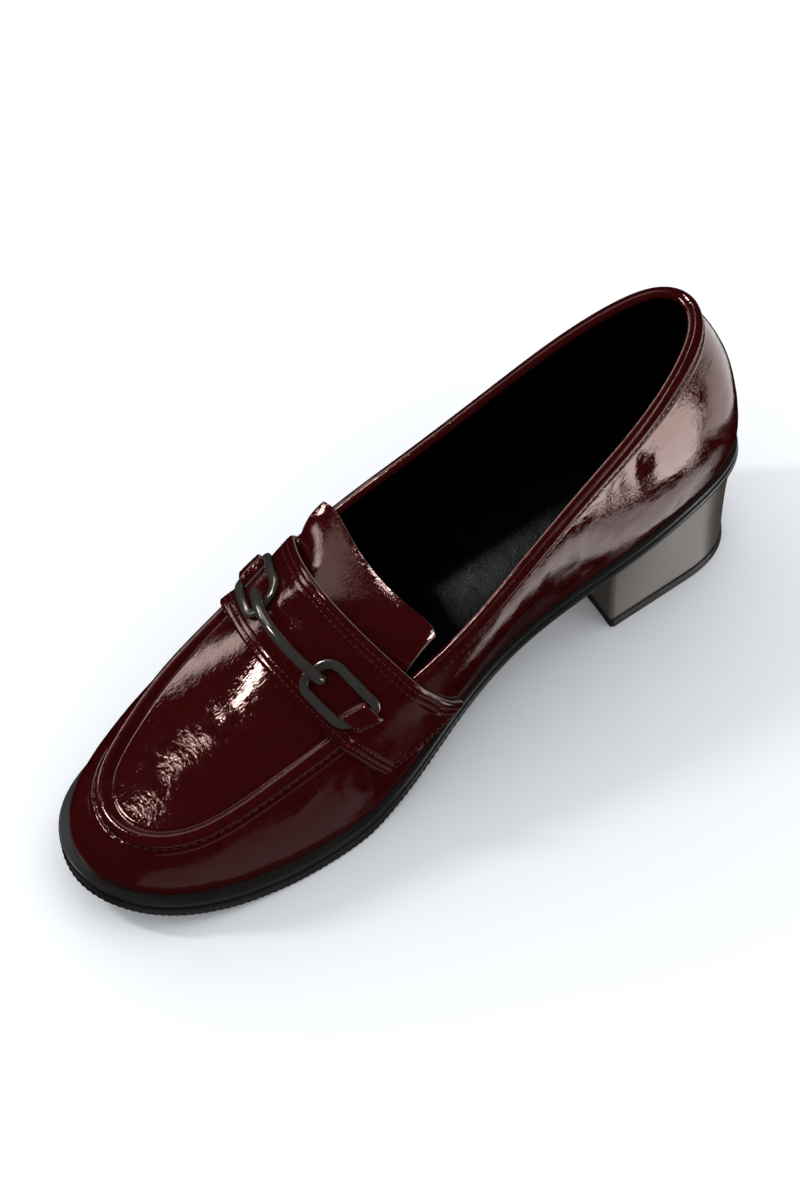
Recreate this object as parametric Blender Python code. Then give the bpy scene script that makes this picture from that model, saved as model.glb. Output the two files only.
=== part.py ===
"""Loafer pump, right shoe: moc-toe upper on a block heel, with tongue, saddle strap and snaffle bit.

Metres, +Z up, +Y towards the toe, +X towards the outer (lateral) side. The origin is the middle of the
heel's floor face. Stations are measured along the shoe from the back of the sole.
"""
import math

import bmesh
import bpy
import numpy as np
from mathutils import Vector

MM = 0.001

# Driving sizes
LENGTH = 263 * MM            # back of the sole to the tip of the toe
BALL_WIDTH = 84 * MM         # nominal width across the ball
HEEL_HEIGHT = 49.5 * MM      # floor to the underside of the sole at the back
COLLAR_HEIGHT = 115 * MM     # floor to the topline at the back
INSTEP_HEIGHT = 79 * MM      # floor to the crest of the upper at the throat
SOLE_THICKNESS = 8.5 * MM    # sole edge at the forefoot
WELT_REACH = 3.4 * MM        # sole edge beyond the upper at the toe
WALL = 2.0 * MM              # leather and lining of the upper
GAP = 0.3 * MM               # between pieces that meet

# Heel
HEEL_LENGTH = 63 * MM        # along the sole
HEEL_INSET = 1.6 * MM        # heel inside the sole's rand
HEEL_TAPER_SIDE = 4.5 * MM   # narrower at the floor, each side
HEEL_TAPER_BACK = 3.0 * MM
HEEL_TAPER_BREAST = 1.0 * MM
HEEL_WAIST = 0.4 * MM        # hollow of the sides half way down
TOP_LIFT = 4.0 * MM

# Upper
RIDGE_HEIGHT = 2.0 * MM      # raised moccasin seam
RIDGE_WIDTH = 4.4 * MM
BINDING_RISE = 0.7 * MM      # folded edge round the collar
BINDING_WIDTH = 3.6 * MM
THROAT_PLACE = 0.6236        # rear edge of the plug under the strap, share of length
THROAT_STATION = THROAT_PLACE * LENGTH

# Insole
INSOLE_THICKNESS = 2.2 * MM

# Tongue
TONGUE_UNDER_PLUG = 9 * MM   # from the throat forwards
TONGUE_LENGTH = 36 * MM      # along the shoe
TONGUE_THICKNESS = 1.8 * MM
TONGUE_SINK = 15.5 * MM      # middle of the free end below the line of the instep
TONGUE_SIDE_GAP = 1.2 * MM   # inside the collar wall
TONGUE_DIP = 7.0 * MM        # sides below the topline
TONGUE_INNER_RISE = 5.0 * MM  # inner corner of the free end above the topline
TONGUE_OUTER_RISE = 6.5 * MM  # outer corner, which spreads over the topline
TONGUE_INNER_INSET = 1.5 * MM  # inner corner further in
TONGUE_OUTER_SPREAD = 1.5 * MM  # outer corner past the topline
TONGUE_SPREAD_FROM = 0.45    # share of the curl where the spread starts
TONGUE_HOLLOW = 6 * MM       # sides of the free end further back than its middle
TONGUE_CORNER = 3.5 * MM     # rounding of its corners
TONGUE_CURL = 0.75           # share of its length over which the free end's corners rise
TONGUE_CROWN = 2.2           # roundness across: 2 is a parabola, more is flatter
TONGUE_END_CROWN = 2.8
TONGUE_FRONT = THROAT_STATION + TONGUE_UNDER_PLUG
TONGUE_BACK = TONGUE_FRONT - TONGUE_LENGTH

# Strap
STRAP_OVER_PLUG = 18 * MM    # front edge ahead of the throat
STRAP_FRONT = THROAT_STATION + STRAP_OVER_PLUG
STRAP_WIDTH = 32 * MM        # along the crest
STRAP_THICKNESS = 1.8 * MM
STRAP_LEAN = math.tan(math.radians(29))  # how far the strap runs back for each step down
STRAP_SKEW = math.tan(math.radians(2))  # how far it runs back towards the outer side
STRAP_END_HEIGHT = 27 * MM   # lower ends above the floor

# Snaffle bit
LINK_LENGTH = 25 * MM
LINK_WIDTH = 17 * MM
LINK_BAR = 3.2 * MM
LINK_THICKNESS = 1.8 * MM
LINK_SPREAD = 26.5 * MM      # middle of the bit to the middle of each link, along the strap
BIT_TURN = math.radians(3)   # inner end towards the toe
BIT_SHIFT = 1.4 * MM         # middle of the bit from the crest towards the inner side
BIT_FORWARD = 2.3 * MM       # middle of the bit from the strap's middle towards the toe
BIT_BAR = 3.6 * MM
BIT_ARCH = 3.5 * MM          # rise of the bar over the strap
TAB_LENGTH = 9 * MM
TAB_WIDTH = 9.5 * MM
TAB_THICKNESS = 1.2 * MM

# Stud on the outer side of the counter
STUD_DIAMETER = 9 * MM
STUD_RISE = 1.6 * MM
STUD_STATION = 30 * MM
STUD_HEIGHT = 86 * MM
STUD_DOME = ((1.0, 0.0), (1.0, 0.35), (0.85, 0.72), (0.5, 0.95))  # share of radius, share of rise

# Outline and topline, from the back round the inner side to the toe and back on the outer side
# along, across: sole edge (shares of length and ball width)    welt: share of the welt reach
# top_along, top_across, top_up: topline and apron seam (shares of length, ball width, collar height)
# low_out, high_out: swell of the side (shares of ball width)   lean: share of the side's height
LAST = (
    # along  across  welt  top_al  top_ac  top_up  low_out high_out lean
    (0.000, -0.028, 0.35, 0.036, -0.010, 0.993, 0.055, 0.140, 0.32),
    (0.022, -0.275, 0.35, 0.058, -0.152, 0.980, 0.055, 0.140, 0.32),
    (0.102, -0.370, 0.35, 0.129, -0.262, 0.924, 0.055, 0.100, 0.32),
    (0.251, -0.362, 0.35, 0.263, -0.350, 0.822, 0.050, 0.050, 0.32),
    (0.387, -0.325, 0.35, 0.399, -0.412, 0.703, 0.060, 0.060, 0.34),
    (0.496, -0.375, 0.35, 0.506, -0.440, 0.592, 0.060, 0.050, 0.36),
    (0.582, -0.450, 0.45, 0.597, -0.418, 0.495, 0.030, 0.050, 0.36),
    (0.681, -0.502, 0.70, 0.681, -0.392, 0.430, 0.015, 0.080, 0.22),
    (0.802, -0.482, 0.94, 0.786, -0.380, 0.385, 0.015, 0.070, 0.20),
    (0.893, -0.417, 0.97, 0.870, -0.345, 0.356, 0.015, 0.060, 0.18),
    (0.958, -0.300, 1.00, 0.920, -0.250, 0.340, 0.012, 0.060, 0.16),
    (1.000, -0.054, 1.00, 0.943, -0.080, 0.333, 0.012, 0.070, 0.16),
    (0.969, 0.226, 1.00, 0.920, 0.100, 0.340, 0.012, 0.070, 0.16),
    (0.901, 0.380, 0.97, 0.870, 0.200, 0.358, 0.015, 0.080, 0.18),
    (0.802, 0.474, 0.88, 0.786, 0.298, 0.392, 0.015, 0.090, 0.20),
    (0.681, 0.505, 0.65, 0.681, 0.358, 0.440, 0.015, 0.080, 0.22),
    (0.582, 0.484, 0.45, 0.597, 0.374, 0.505, 0.020, 0.060, 0.30),
    (0.496, 0.428, 0.35, 0.506, 0.362, 0.590, 0.025, 0.050, 0.32),
    (0.387, 0.380, 0.35, 0.399, 0.310, 0.695, 0.035, 0.050, 0.32),
    (0.251, 0.350, 0.35, 0.263, 0.256, 0.815, 0.050, 0.050, 0.32),
    (0.102, 0.330, 0.35, 0.129, 0.192, 0.922, 0.055, 0.080, 0.32),
    (0.022, 0.215, 0.35, 0.060, 0.106, 0.980, 0.055, 0.110, 0.32),
)
TOE_ROW = 11

# Sole from the side: share of length, underside (share of heel height), thickness (share of sole's)
SOLE_PROFILE = (
    # along  under   thick
    (0.000, 1.000, 0.70),
    (0.110, 0.930, 0.70),
    (0.229, 0.780, 0.72),
    (0.328, 0.610, 0.74),
    (0.427, 0.415, 0.78),
    (0.525, 0.215, 0.85),
    (0.605, 0.080, 0.94),
    (0.674, 0.000, 1.00),
    (0.763, 0.000, 1.00),
    (0.832, 0.030, 1.00),
    (0.901, 0.100, 1.00),
    (0.951, 0.165, 1.00),
    (1.000, 0.235, 1.00),
)

# Crest of the instep and plug: share of length, share of instep height
CREST = (
    # along  up
    (0.446, 1.230),
    (0.506, 1.150),
    (0.585, 1.010),
    (0.634, 0.890),
    (0.684, 0.775),
    (0.743, 0.685),
    (0.802, 0.620),
    (0.862, 0.560),
    (0.941, 0.485),
)

# Steps of the sole's side: outward from the outline, share of the thickness below the top
SOLE_SIDE = (
    # out          down
    (-0.5 * MM, 0.00),
    (0.0 * MM, 0.05),
    (0.2 * MM, 0.22),
    (-0.2 * MM, 0.36),
    (-1.1 * MM, 0.40),
    (-1.1 * MM, 0.48),
    (-0.1 * MM, 0.52),
    (0.3 * MM, 0.75),
    (0.1 * MM, 0.93),
    (-0.7 * MM, 1.00),
)

# Fine sizes
HEEL_TOP_WIDTH = 57 * MM
HEEL_SHIFT = -1.5 * MM       # middle of the heel from the middle of the shoe
HEEL_ROUND = 27 * MM         # length of the rounded back
HEEL_SQUARE = 0.8            # under 1 squares the back, 1 is an ellipse
HEEL_CORNER = 1.5 * MM
HEEL_BREAST_HOLLOW = 1.5 * MM
HEEL_BREAST_SHARES = (0.6, 0.3, 0.0)  # points across the breast, share of its half
TOP_LIFT_STEP = 0.2 * MM
TOP_LIFT_CHAMFER = 0.4 * MM
INSOLE_CLEARANCE = 0.8 * MM
STRAP_CLEARANCE = 0.7 * MM
RIDGE_FADE = 12 * MM         # length over which the ridge and the binding sink under the strap
SPINE_END = 0.871 * LENGTH   # front end of the plug's middle line
LOW_HANDLE = 0.38            # height of the side's lower control point, share of its rise
LINK_CORNER = 3.5 * MM
LINK_ROUND = 4.5 * MM
LINK_CHAMFER = 0.5 * MM
LINK_GAP = 0.5 * MM          # links above the strap
LINK_STEP = 3 * MM           # longest straight run of a link's side
NORMAL_REACH = 1.5 * MM      # over which the strap's slope is taken
TAB_SLACK = 0.6 * MM
BAR_OVER_LINK = 0.5 * MM     # bar clear of the link's round end
BAR_END_TURN = ((1.0, 0.0), (0.92, 0.75), (0.5, 0.95))  # share of the way back to the link, share of the rise
BAR_ARCH_SHARES = (0.82, 0.62, 0.41, 0.2)  # points between the link and the bar's middle
ORIGIN_STATION = (HEEL_INSET + HEEL_TAPER_BACK + HEEL_LENGTH - HEEL_TAPER_BREAST) / 2

# Fineness of the meshes
SIDE_COLUMNS = 40            # from the back to the toe on each side
SIDE_ROWS = 6                # up the side below the edge rows
PLUG_ROWS = 4                # across half the plug beyond the edge rows
EDGE_ROWS = 2                # on each side of the seam
EDGE_STEP = RIDGE_WIDTH / 4
SOLE_COLUMNS = 50
INSOLE_COLUMNS = 36
HEEL_TURN_POINTS = 9
HEEL_PAIRS = HEEL_TURN_POINTS + 1  # mirrored points of the heel's outline before its breast
HEEL_LEVELS = 5
TONGUE_ROWS = 9
TONGUE_COLUMNS = 17
STRAP_ROWS = 6
STRAP_COLUMNS = 45
LINK_ARC_POINTS = 6
TAB_ROWS = 9
TAB_COLUMNS = 3
STUD_SIDES = 16


def closed_spline(knots, values, at):
    """Smooth closed curve through values at knots; knots has one more entry, the whole way round."""
    count = len(values)
    step = np.diff(knots)
    system = np.zeros((count, count))
    right = np.zeros(values.shape)
    for i in range(count):
        before = (i - 1) % count
        after = (i + 1) % count
        system[i, before] += step[before]
        system[i, i] += 2 * (step[before] + step[i])
        system[i, after] += step[i]
        rise = (values[after] - values[i]) / step[i]
        right[i] = 6 * (rise - (values[i] - values[before]) / step[before])
    bend = np.linalg.solve(system, right)
    at = np.mod(at, knots[-1])
    i = np.clip(np.searchsorted(knots, at, side="right") - 1, 0, count - 1)
    j = (i + 1) % count
    a = ((knots[i + 1] - at) / step[i])[:, None]
    b = 1 - a
    curve = ((a ** 3 - a) * bend[i] + (b ** 3 - b) * bend[j]) * step[i][:, None] ** 2 / 6
    return a * values[i] + b * values[j] + curve


def smooth_table(rows, at):
    """Columns of a table between its rows, by a curve that never overshoots them."""
    rows = np.array(rows, float)
    x = rows[:, 0]
    y = rows[:, 1:]
    h = np.diff(x)[:, None]
    slope = np.diff(y, axis=0) / h
    inner = np.where(slope[:-1] * slope[1:] > 0, 2 * slope[:-1] * slope[1:] / (slope[:-1] + slope[1:] + 1e-30), 0)
    tangent = np.vstack([slope[:1], inner, slope[-1:]])
    at = np.clip(np.asarray(at, float), x[0], x[-1])
    i = np.clip(np.searchsorted(x, at, side="right") - 1, 0, len(x) - 2)
    t = ((at - x[i]) / h[i, 0])[..., None]
    start = y[i] * (1 + 2 * t) * (1 - t) ** 2 + tangent[i] * h[i] * t * (1 - t) ** 2
    return start + y[i + 1] * t * t * (3 - 2 * t) + tangent[i + 1] * h[i] * t * t * (t - 1)


def sole_under(station):
    return smooth_table(SOLE_PROFILE, station / LENGTH)[..., 0] * HEEL_HEIGHT


def sole_thick(station):
    return smooth_table(SOLE_PROFILE, station / LENGTH)[..., 1] * SOLE_THICKNESS


def sole_top(station):
    return sole_under(station) + sole_thick(station)


def crest(station):
    return smooth_table(CREST, station / LENGTH)[..., 0] * INSTEP_HEIGHT


def strap_rear():
    """Crest station of the strap's rear edge, its width measured along the crest."""
    stations = np.arange(STRAP_FRONT, 0.4 * LENGTH, -0.5 * MM)
    run = np.concatenate([[0], np.cumsum(np.hypot(np.diff(stations), np.diff(crest(stations))))])
    return float(np.interp(STRAP_WIDTH, run, stations))


def strap_line_at_seam(last, station):
    """Stations where the strap's edge through a crest station meets the topline, for every column."""
    meets = []
    for side in (0, 1):
        meet = station
        for _ in range(8):
            across, up = topline_at(last, meet)[side]
            meet = station - (float(crest(station)) - up) * STRAP_LEAN - across * STRAP_SKEW
        meets.append(meet)
    count = len(last["top"])
    return np.where(np.arange(count) <= count // 2, meets[0], meets[1])


def last_columns(columns):
    """Columns round the shoe, as many on each side, from the back over the inner side and the toe."""
    table = np.array(LAST, float)
    scale = np.array([LENGTH, BALL_WIDTH, WELT_REACH, LENGTH, BALL_WIDTH, COLLAR_HEIGHT, BALL_WIDTH, BALL_WIDTH, 1])
    values = table * scale
    chords = np.linalg.norm(np.roll(values[:, :2], -1, axis=0) - values[:, :2], axis=1)
    knots = np.concatenate([[0], np.cumsum(chords)])
    inner = np.linspace(0, knots[TOE_ROW], columns + 1)
    outer = np.linspace(knots[TOE_ROW], knots[-1], columns + 1)
    around = np.concatenate([inner, outer[1:-1]])
    v = closed_spline(knots, values, around)
    ahead = closed_spline(knots, values, around + 0.5 * MM)[:, :2]
    behind = closed_spline(knots, values, around - 0.5 * MM)[:, :2]
    tangent = (ahead - behind) / np.linalg.norm(ahead - behind, axis=1)[:, None]
    # across, along: the outline runs from the back over the inner side, so outward lies on its left
    outward = np.stack([-tangent[:, 0], tangent[:, 1]], axis=1)
    edge = np.stack([v[:, 1], v[:, 0]], axis=1)
    feather = edge - outward * v[:, 2:3]
    feather = np.column_stack([feather, sole_top(feather[:, 1]) + GAP])
    top = np.stack([v[:, 4], v[:, 3], v[:, 5]], axis=1)
    return {"edge": edge, "outward": outward, "feather": feather, "top": top,
            "low_out": v[:, 6], "high_out": v[:, 7], "lean": v[:, 8]}


def rib_shares(last, column, rows, edge_rows, sign=1):
    """Shares up a side rib: even rows, then rows one edge step apart below the top."""
    fine = np.linspace(0, 1, 81)
    curve = np.array([side_rib_point(last, column, t) for t in fine])
    run = np.concatenate([[0], np.cumsum(np.linalg.norm(np.diff(curve, axis=0), axis=1))])
    body = np.linspace(0, run[-1] - edge_rows * EDGE_STEP, rows + 1)
    edge = run[-1] - EDGE_STEP * np.arange(edge_rows - 1, -1, -1)
    return np.interp(np.concatenate([body, edge]), run, fine)


def side_rib_point(last, column, t):
    """Point of one column's rib at share t of the way up."""
    out = np.append(last["outward"][column], 0)
    foot = last["feather"][column]
    top = last["top"][column]
    rise = np.array([0, 0, top[2] - foot[2]])
    low = foot + out * last["low_out"][column] + rise * LOW_HANDLE
    high = top + out * last["high_out"][column] - rise * last["lean"][column]
    return foot * (1 - t) ** 3 + 3 * low * t * (1 - t) ** 2 + 3 * high * t * t * (1 - t) + top * t ** 3


def side_lines(last):
    """Topline of each side as along, across and up, from the back to the toe."""
    half = len(last["top"]) // 2
    inner = last["top"][:half + 1]
    outer = np.vstack([last["top"][half:], last["top"][:1]])[::-1]
    return inner, outer


def topline_at(last, station):
    inner, outer = side_lines(last)
    return [np.array([np.interp(station, line[:, 1], line[:, 0]), np.interp(station, line[:, 1], line[:, 2])])
            for line in (inner, outer)]


def instep_height(last, across, station):
    """Height of the crowned surface between the two sides of the topline."""
    inner, outer = topline_at(last, station)
    middle = (inner[0] + outer[0]) / 2
    side = inner if across < middle else outer
    share = np.clip((across - middle) / (side[0] - middle), 0, 1)
    return side[1] + (float(crest(station)) - side[1]) * (1 - share ** 2)


def spine_point(last, column, first):
    """Middle of the plug that belongs to a column and its mirror on the other side."""
    half = len(last["top"]) // 2
    mirror = 2 * half - column
    seam = (last["top"][column] + last["top"][mirror]) / 2
    start = (last["top"][first, 1] + last["top"][2 * half - first, 1]) / 2
    share = (seam[1] - start) / (last["top"][half, 1] - start)
    along = start + (SPINE_END - start) * share
    inner, outer = topline_at(last, along)
    return np.array([(inner[0] + outer[0]) / 2, along, float(crest(along))])


def plug_line(last, column, first, rows, edge_rows):
    """Points from the seam to the spine, without the seam point."""
    seam = last["top"][column]
    spine = spine_point(last, column, first)
    reach = np.linalg.norm((spine - seam)[:2])
    edge = np.minimum(EDGE_STEP * np.arange(1, edge_rows + 1), reach * 0.5 * np.arange(1, edge_rows + 1) / edge_rows)
    body = np.linspace(edge[-1], reach, rows + 1)[1:]
    share = np.concatenate([edge, body])[:, None] / reach
    line = seam + (spine - seam) * share
    line[:, 2] = [instep_height(last, x, y) for x, y in line[:, :2]]
    return line


def raised(distance, width, height):
    """Height of a rounded rib at a distance from its crest."""
    x = np.clip(np.abs(distance) / (width / 2), 0, 1)
    return height * np.cos(x * math.pi / 2) ** 2


def fade(value, start, end):
    """0 before start, 1 after end."""
    t = np.clip((value - start) / (end - start), 0, 1)
    return t * t * (3 - 2 * t)


def upper_surface(columns, rows, plug_rows, edge_rows=2):
    """Base surface of the upper: points, faces and how far its outside stands proud of it."""
    last = last_columns(columns)
    count = 2 * columns
    points = []
    proud = []
    side_rows = rows + 1 + edge_rows
    ridge_start = strap_line_at_seam(last, STRAP_FRONT)
    binding_end = strap_line_at_seam(last, strap_rear())
    for c in range(count):
        ridge_share = float(fade(last["top"][c, 1], ridge_start[c % count] - RIDGE_FADE, ridge_start[c % count]))
        bind_share = 1 - float(fade(last["top"][c, 1], binding_end[c], binding_end[c] + RIDGE_FADE))
        shares = rib_shares(last, c, rows, edge_rows)
        for k, t in enumerate(shares):
            points.append(side_rib_point(last, c, t))
            below = EDGE_STEP * (side_rows - 1 - k)
            ridge = raised(below, RIDGE_WIDTH, RIDGE_HEIGHT) * ridge_share
            bind = BINDING_RISE * (0 < below < BINDING_WIDTH) * bind_share
            proud.append(ridge + bind)
    faces = []
    for c in range(count):
        a = c * side_rows
        b = ((c + 1) % count) * side_rows
        for k in range(side_rows - 1):
            faces.append((b + k, a + k, a + k + 1, b + k + 1))
    half = columns
    first = int(np.argmax(last["top"][:half + 1, 1] > THROAT_STATION))
    index = {}
    for c in range(first, 2 * half - first + 1):
        index[c, 0] = c * side_rows + side_rows - 1
        line = plug_line(last, c, first, plug_rows, edge_rows)
        ridge_share = float(fade(last["top"][c, 1], ridge_start[c % count] - RIDGE_FADE, ridge_start[c % count]))
        run = 0
        before = last["top"][c]
        for k, point in enumerate(line, start=1):
            run += np.linalg.norm(point - before)
            before = point
            if k == len(line) and c > half:
                index[c, k] = index[2 * half - c, k]
                continue
            index[c, k] = len(points)
            points.append(point)
            proud.append(float(raised(run, RIDGE_WIDTH, RIDGE_HEIGHT)) * ridge_share)
    for c in range(first, 2 * half - first):
        for k in range(plug_rows + edge_rows):
            faces.append((index[c + 1, k], index[c, k], index[c, k + 1], index[c + 1, k + 1]))
    return np.array(points), faces, np.array(proud)


def point_normals(points, faces):
    """Unit normal at every point, from the faces round it."""
    normals = np.zeros(points.shape)
    for face in faces:
        corner = points[list(face)]
        direction = np.cross(corner[2] - corner[0], corner[-1] - corner[1])
        for i in face:
            normals[i] += direction
    return normals / np.linalg.norm(normals, axis=1)[:, None]


def shell(points, faces, outside, inside):
    """Closed wall between two offsets of an open surface, outside and inside measured along its normals."""
    normals = point_normals(points, faces)
    outer = points + normals * np.reshape(outside, (-1, 1))
    inner = points + normals * np.reshape(inside, (-1, 1))
    count = len(points)
    walls = [tuple(face) for face in faces]
    walls += [tuple(i + count for i in reversed(face)) for face in faces]
    used = {}
    for face in faces:
        for i, a in enumerate(face):
            used[a, face[(i + 1) % len(face)]] = True
    for a, b in used:
        if (b, a) not in used:
            walls.append((b, a, a + count, b + count))
    return np.vstack([outer, inner]), walls


def grid_faces(rows, columns):
    return [(r * columns + c, r * columns + c + 1, (r + 1) * columns + c + 1, (r + 1) * columns + c)
            for r in range(rows - 1) for c in range(columns - 1)]


def make_object(name, points, faces, material, smooth_angle=40):
    mesh = bpy.data.meshes.new(name)
    work = bmesh.new()
    corners = [work.verts.new(Vector(p) - Vector((0, ORIGIN_STATION, 0))) for p in points]
    for face in faces:
        work.faces.new([corners[i] for i in face])
    bmesh.ops.triangulate(work, faces=[f for f in work.faces if len(f.verts) > 3])
    work.to_mesh(mesh)
    work.free()
    mesh.shade_smooth()
    mesh.set_sharp_from_angle(angle=math.radians(smooth_angle))
    mesh.materials.append(material)
    result = bpy.data.objects.new(name, mesh)
    bpy.context.scene.collection.objects.link(result)
    return result


def make_material(name, colour, roughness, metallic=0.0, coat=0.0):
    material = bpy.data.materials.new(name)
    material.use_nodes = True
    shader = material.node_tree.nodes["Principled BSDF"]
    shader.inputs["Base Color"].default_value = (*colour, 1)
    shader.inputs["Roughness"].default_value = roughness
    shader.inputs["Metallic"].default_value = metallic
    shader.inputs["Coat Weight"].default_value = coat
    return material


def cap_faces(count, pairs):
    """Faces across a mirrored loop: rungs over its first pairs, then one face on each side of a hollow end."""
    half = count // 2
    faces = []
    for i in range(pairs):
        rung = [i, i + 1, (count - i - 1) % count, (count - i) % count]
        if i + 1 == pairs < half:
            rung.insert(2, half)
        faces.append(tuple(dict.fromkeys(rung)))
    if pairs < half:
        faces.append(tuple(range(pairs, half + 1)))
        faces.append(tuple(range(half, count - pairs + 1)))
    return faces


def ring_stack(rings, pairs=None):
    """Closed solid from loops of equal count, highest first, each clockwise from above and mirrored."""
    count = len(rings[0])
    points = np.vstack(rings)
    faces = []
    for r in range(len(rings) - 1):
        for i in range(count):
            a = r * count + i
            b = r * count + (i + 1) % count
            faces.append((a, b, b + count, a + count))
    last_start = (len(rings) - 1) * count
    for cap in cap_faces(count, pairs or count // 2):
        faces.append(tuple(reversed(cap)))
        faces.append(tuple(last_start + corner for corner in cap))
    return points, faces


def clear_scene():
    for item in list(bpy.data.objects):
        bpy.data.objects.remove(item, do_unlink=True)


def outsole_rings(columns):
    last = last_columns(columns)
    rings = []
    for out, down in SOLE_SIDE:
        ring = last["edge"] + last["outward"] * out
        height = sole_top(ring[:, 1]) - down * sole_thick(ring[:, 1])
        rings.append(np.column_stack([ring, height]))
    return rings


def heel_loop(half_width, back, breast, hollow):
    """Heel outline from the back round the inner side, over the breast and back on the outer side."""
    turn = np.linspace(0, math.pi / 2, HEEL_TURN_POINTS)
    reach = min(HEEL_ROUND, breast - back)
    side = [(half_width * math.sin(a) ** HEEL_SQUARE, back + reach * (1 - math.cos(a) ** HEEL_SQUARE)) for a in turn]
    side += [(half_width, back + reach + (breast - HEEL_CORNER - back - reach) * t) for t in (0.5, 1.0)]
    bend = HEEL_CORNER * (1 - math.sqrt(0.5))
    side += [(half_width - bend, breast - bend), (half_width - HEEL_CORNER, breast)]
    for share in HEEL_BREAST_SHARES:
        side.append(((half_width - HEEL_CORNER) * share, breast - hollow * (1 - share ** 2)))
    inner = [(HEEL_SHIFT - x, y) for x, y in side]
    outer = [(HEEL_SHIFT + x, y) for x, y in side[1:-1]]
    return np.array(inner + outer[::-1])


def heel_level(share):
    """Heel outline at a share of the way from the sole down to the floor."""
    waist = HEEL_WAIST * 4 * share * (1 - share)
    half_width = HEEL_TOP_WIDTH / 2 - HEEL_TAPER_SIDE * share - waist
    back = HEEL_INSET + HEEL_TAPER_BACK * share + waist
    breast = HEEL_LENGTH - HEEL_TAPER_BREAST * share
    return heel_loop(half_width, back, breast, HEEL_BREAST_HOLLOW)


def heel_rings():
    rings = []
    for share in np.linspace(0, 1, HEEL_LEVELS):
        loop = heel_level(share)
        under = sole_under(loop[:, 1]) - GAP
        rings.append(np.column_stack([loop, under * (1 - share) + (TOP_LIFT + GAP) * share]))
    return rings


def top_lift_rings():
    loop = heel_level(1.0)
    middle = np.array([HEEL_SHIFT, (loop[:, 1].min() + loop[:, 1].max()) / 2])
    reach = np.linalg.norm(loop - middle, axis=1)[:, None]
    direction = (loop - middle) / reach
    rings = []
    for out, height in ((TOP_LIFT_STEP, TOP_LIFT), (TOP_LIFT_STEP, TOP_LIFT_CHAMFER), (0.0, 0.0)):
        ring = loop + direction * out
        rings.append(np.column_stack([ring, np.full(len(ring), height)]))
    return rings


def insole_rings(columns):
    last = last_columns(columns)
    loop = last["feather"][:, :2] - last["outward"] * (WALL + INSOLE_CLEARANCE)
    under = sole_top(loop[:, 1]) + GAP
    return [np.column_stack([loop, under + rise]) for rise in (INSOLE_THICKNESS, 0.0)]


def tongue_surface(rows, columns):
    """Middle surface of the tongue: from under the plug back and up to its free end."""
    last = last_columns(SIDE_COLUMNS)
    points = []
    for v in np.linspace(0, 1, rows):
        for u in np.linspace(-1, 1, columns):
            station = TONGUE_FRONT + (TONGUE_BACK - TONGUE_FRONT) * v
            free = float(fade(-station, -THROAT_STATION, -TONGUE_BACK))
            curl = float(fade(-station, -TONGUE_BACK - TONGUE_CURL * TONGUE_LENGTH, -TONGUE_BACK))
            inner, outer = topline_at(last, station)
            side = inner if u < 0 else outer
            middle = (inner[0] + outer[0]) / 2
            spread = float(fade(curl, TONGUE_SPREAD_FROM, 1)) * (WALL + TONGUE_SIDE_GAP + TONGUE_OUTER_SPREAD)
            inset = WALL + TONGUE_SIDE_GAP + (TONGUE_INNER_INSET * curl if u < 0 else -spread)
            reach = abs(side[0] - middle) - inset
            slope = float(crest(station - MM) - crest(station + MM)) / (2 * MM)
            sunk = -(WALL + 2 * GAP + TONGUE_THICKNESS / 2) * math.hypot(1, slope)
            centre = float(crest(station)) + sunk + (-TONGUE_SINK - sunk) * free
            rise = TONGUE_INNER_RISE if u < 0 else TONGUE_OUTER_RISE
            edge = side[1] - TONGUE_DIP + (TONGUE_DIP + rise) * curl
            crown = TONGUE_CROWN + (TONGUE_END_CROWN - TONGUE_CROWN) * curl
            height = edge + (centre - edge) * (1 - abs(u) ** crown)
            across = middle + reach * u
            turn = TONGUE_CORNER * abs(u) ** 9 - TONGUE_HOLLOW * u ** 2
            along = station + turn * v ** 2 - across * STRAP_SKEW * v
            points.append((across, along, height))
    return np.array(points)


def convex_over(points):
    """Convex outline of x, z points from the lowest inner point over the top to the lowest outer one."""
    order = sorted(map(tuple, points))
    upper = []
    for p in order:
        while len(upper) > 1:
            a, b = upper[-2], upper[-1]
            if (b[0] - a[0]) * (p[1] - a[1]) - (b[1] - a[1]) * (p[0] - a[0]) < 0:
                break
            upper.pop()
        upper.append(p)
    return np.array(upper)


def taut_section(last, outer_points, side_rows, station):
    """Convex line over the upper in the leaning plane through a crest station, as x, z points."""
    count = len(last["top"])
    half = count // 2
    grid = outer_points[:count * side_rows].reshape(count, side_rows, 3)
    inner = grid[:half + 1]
    outer = np.concatenate([grid[half:], grid[:1]])[::-1]
    top = float(crest(station))
    sides = []
    for side in (inner, outer):
        crest_station = side[:, :, 1] + (top - side[:, :, 2]) * STRAP_LEAN + side[:, :, 0] * STRAP_SKEW
        x = [np.interp(station, crest_station[:, k], side[:, k, 0]) for k in range(side_rows)]
        z = [np.interp(station, crest_station[:, k], side[:, k, 2]) for k in range(side_rows)]
        sides.append(np.column_stack([x, z]))
    over = []
    for x in np.linspace(sides[0][-1, 0], sides[1][-1, 0], 15)[1:-1]:
        z = top
        for _ in range(6):
            z = instep_height(last, x, station - (top - z) * STRAP_LEAN - x * STRAP_SKEW)
        over.append((x, z))
    widest = [int(np.argmax(np.abs(side[:, 0]))) for side in sides]
    hull = convex_over(np.vstack([side[k:] for side, k in zip(sides, widest)] + [over]))
    line = np.vstack([sides[0][:widest[0]], hull, sides[1][:widest[1]][::-1]])
    return trim_low_end(trim_low_end(line, STRAP_END_HEIGHT)[::-1], STRAP_END_HEIGHT)[::-1]


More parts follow.
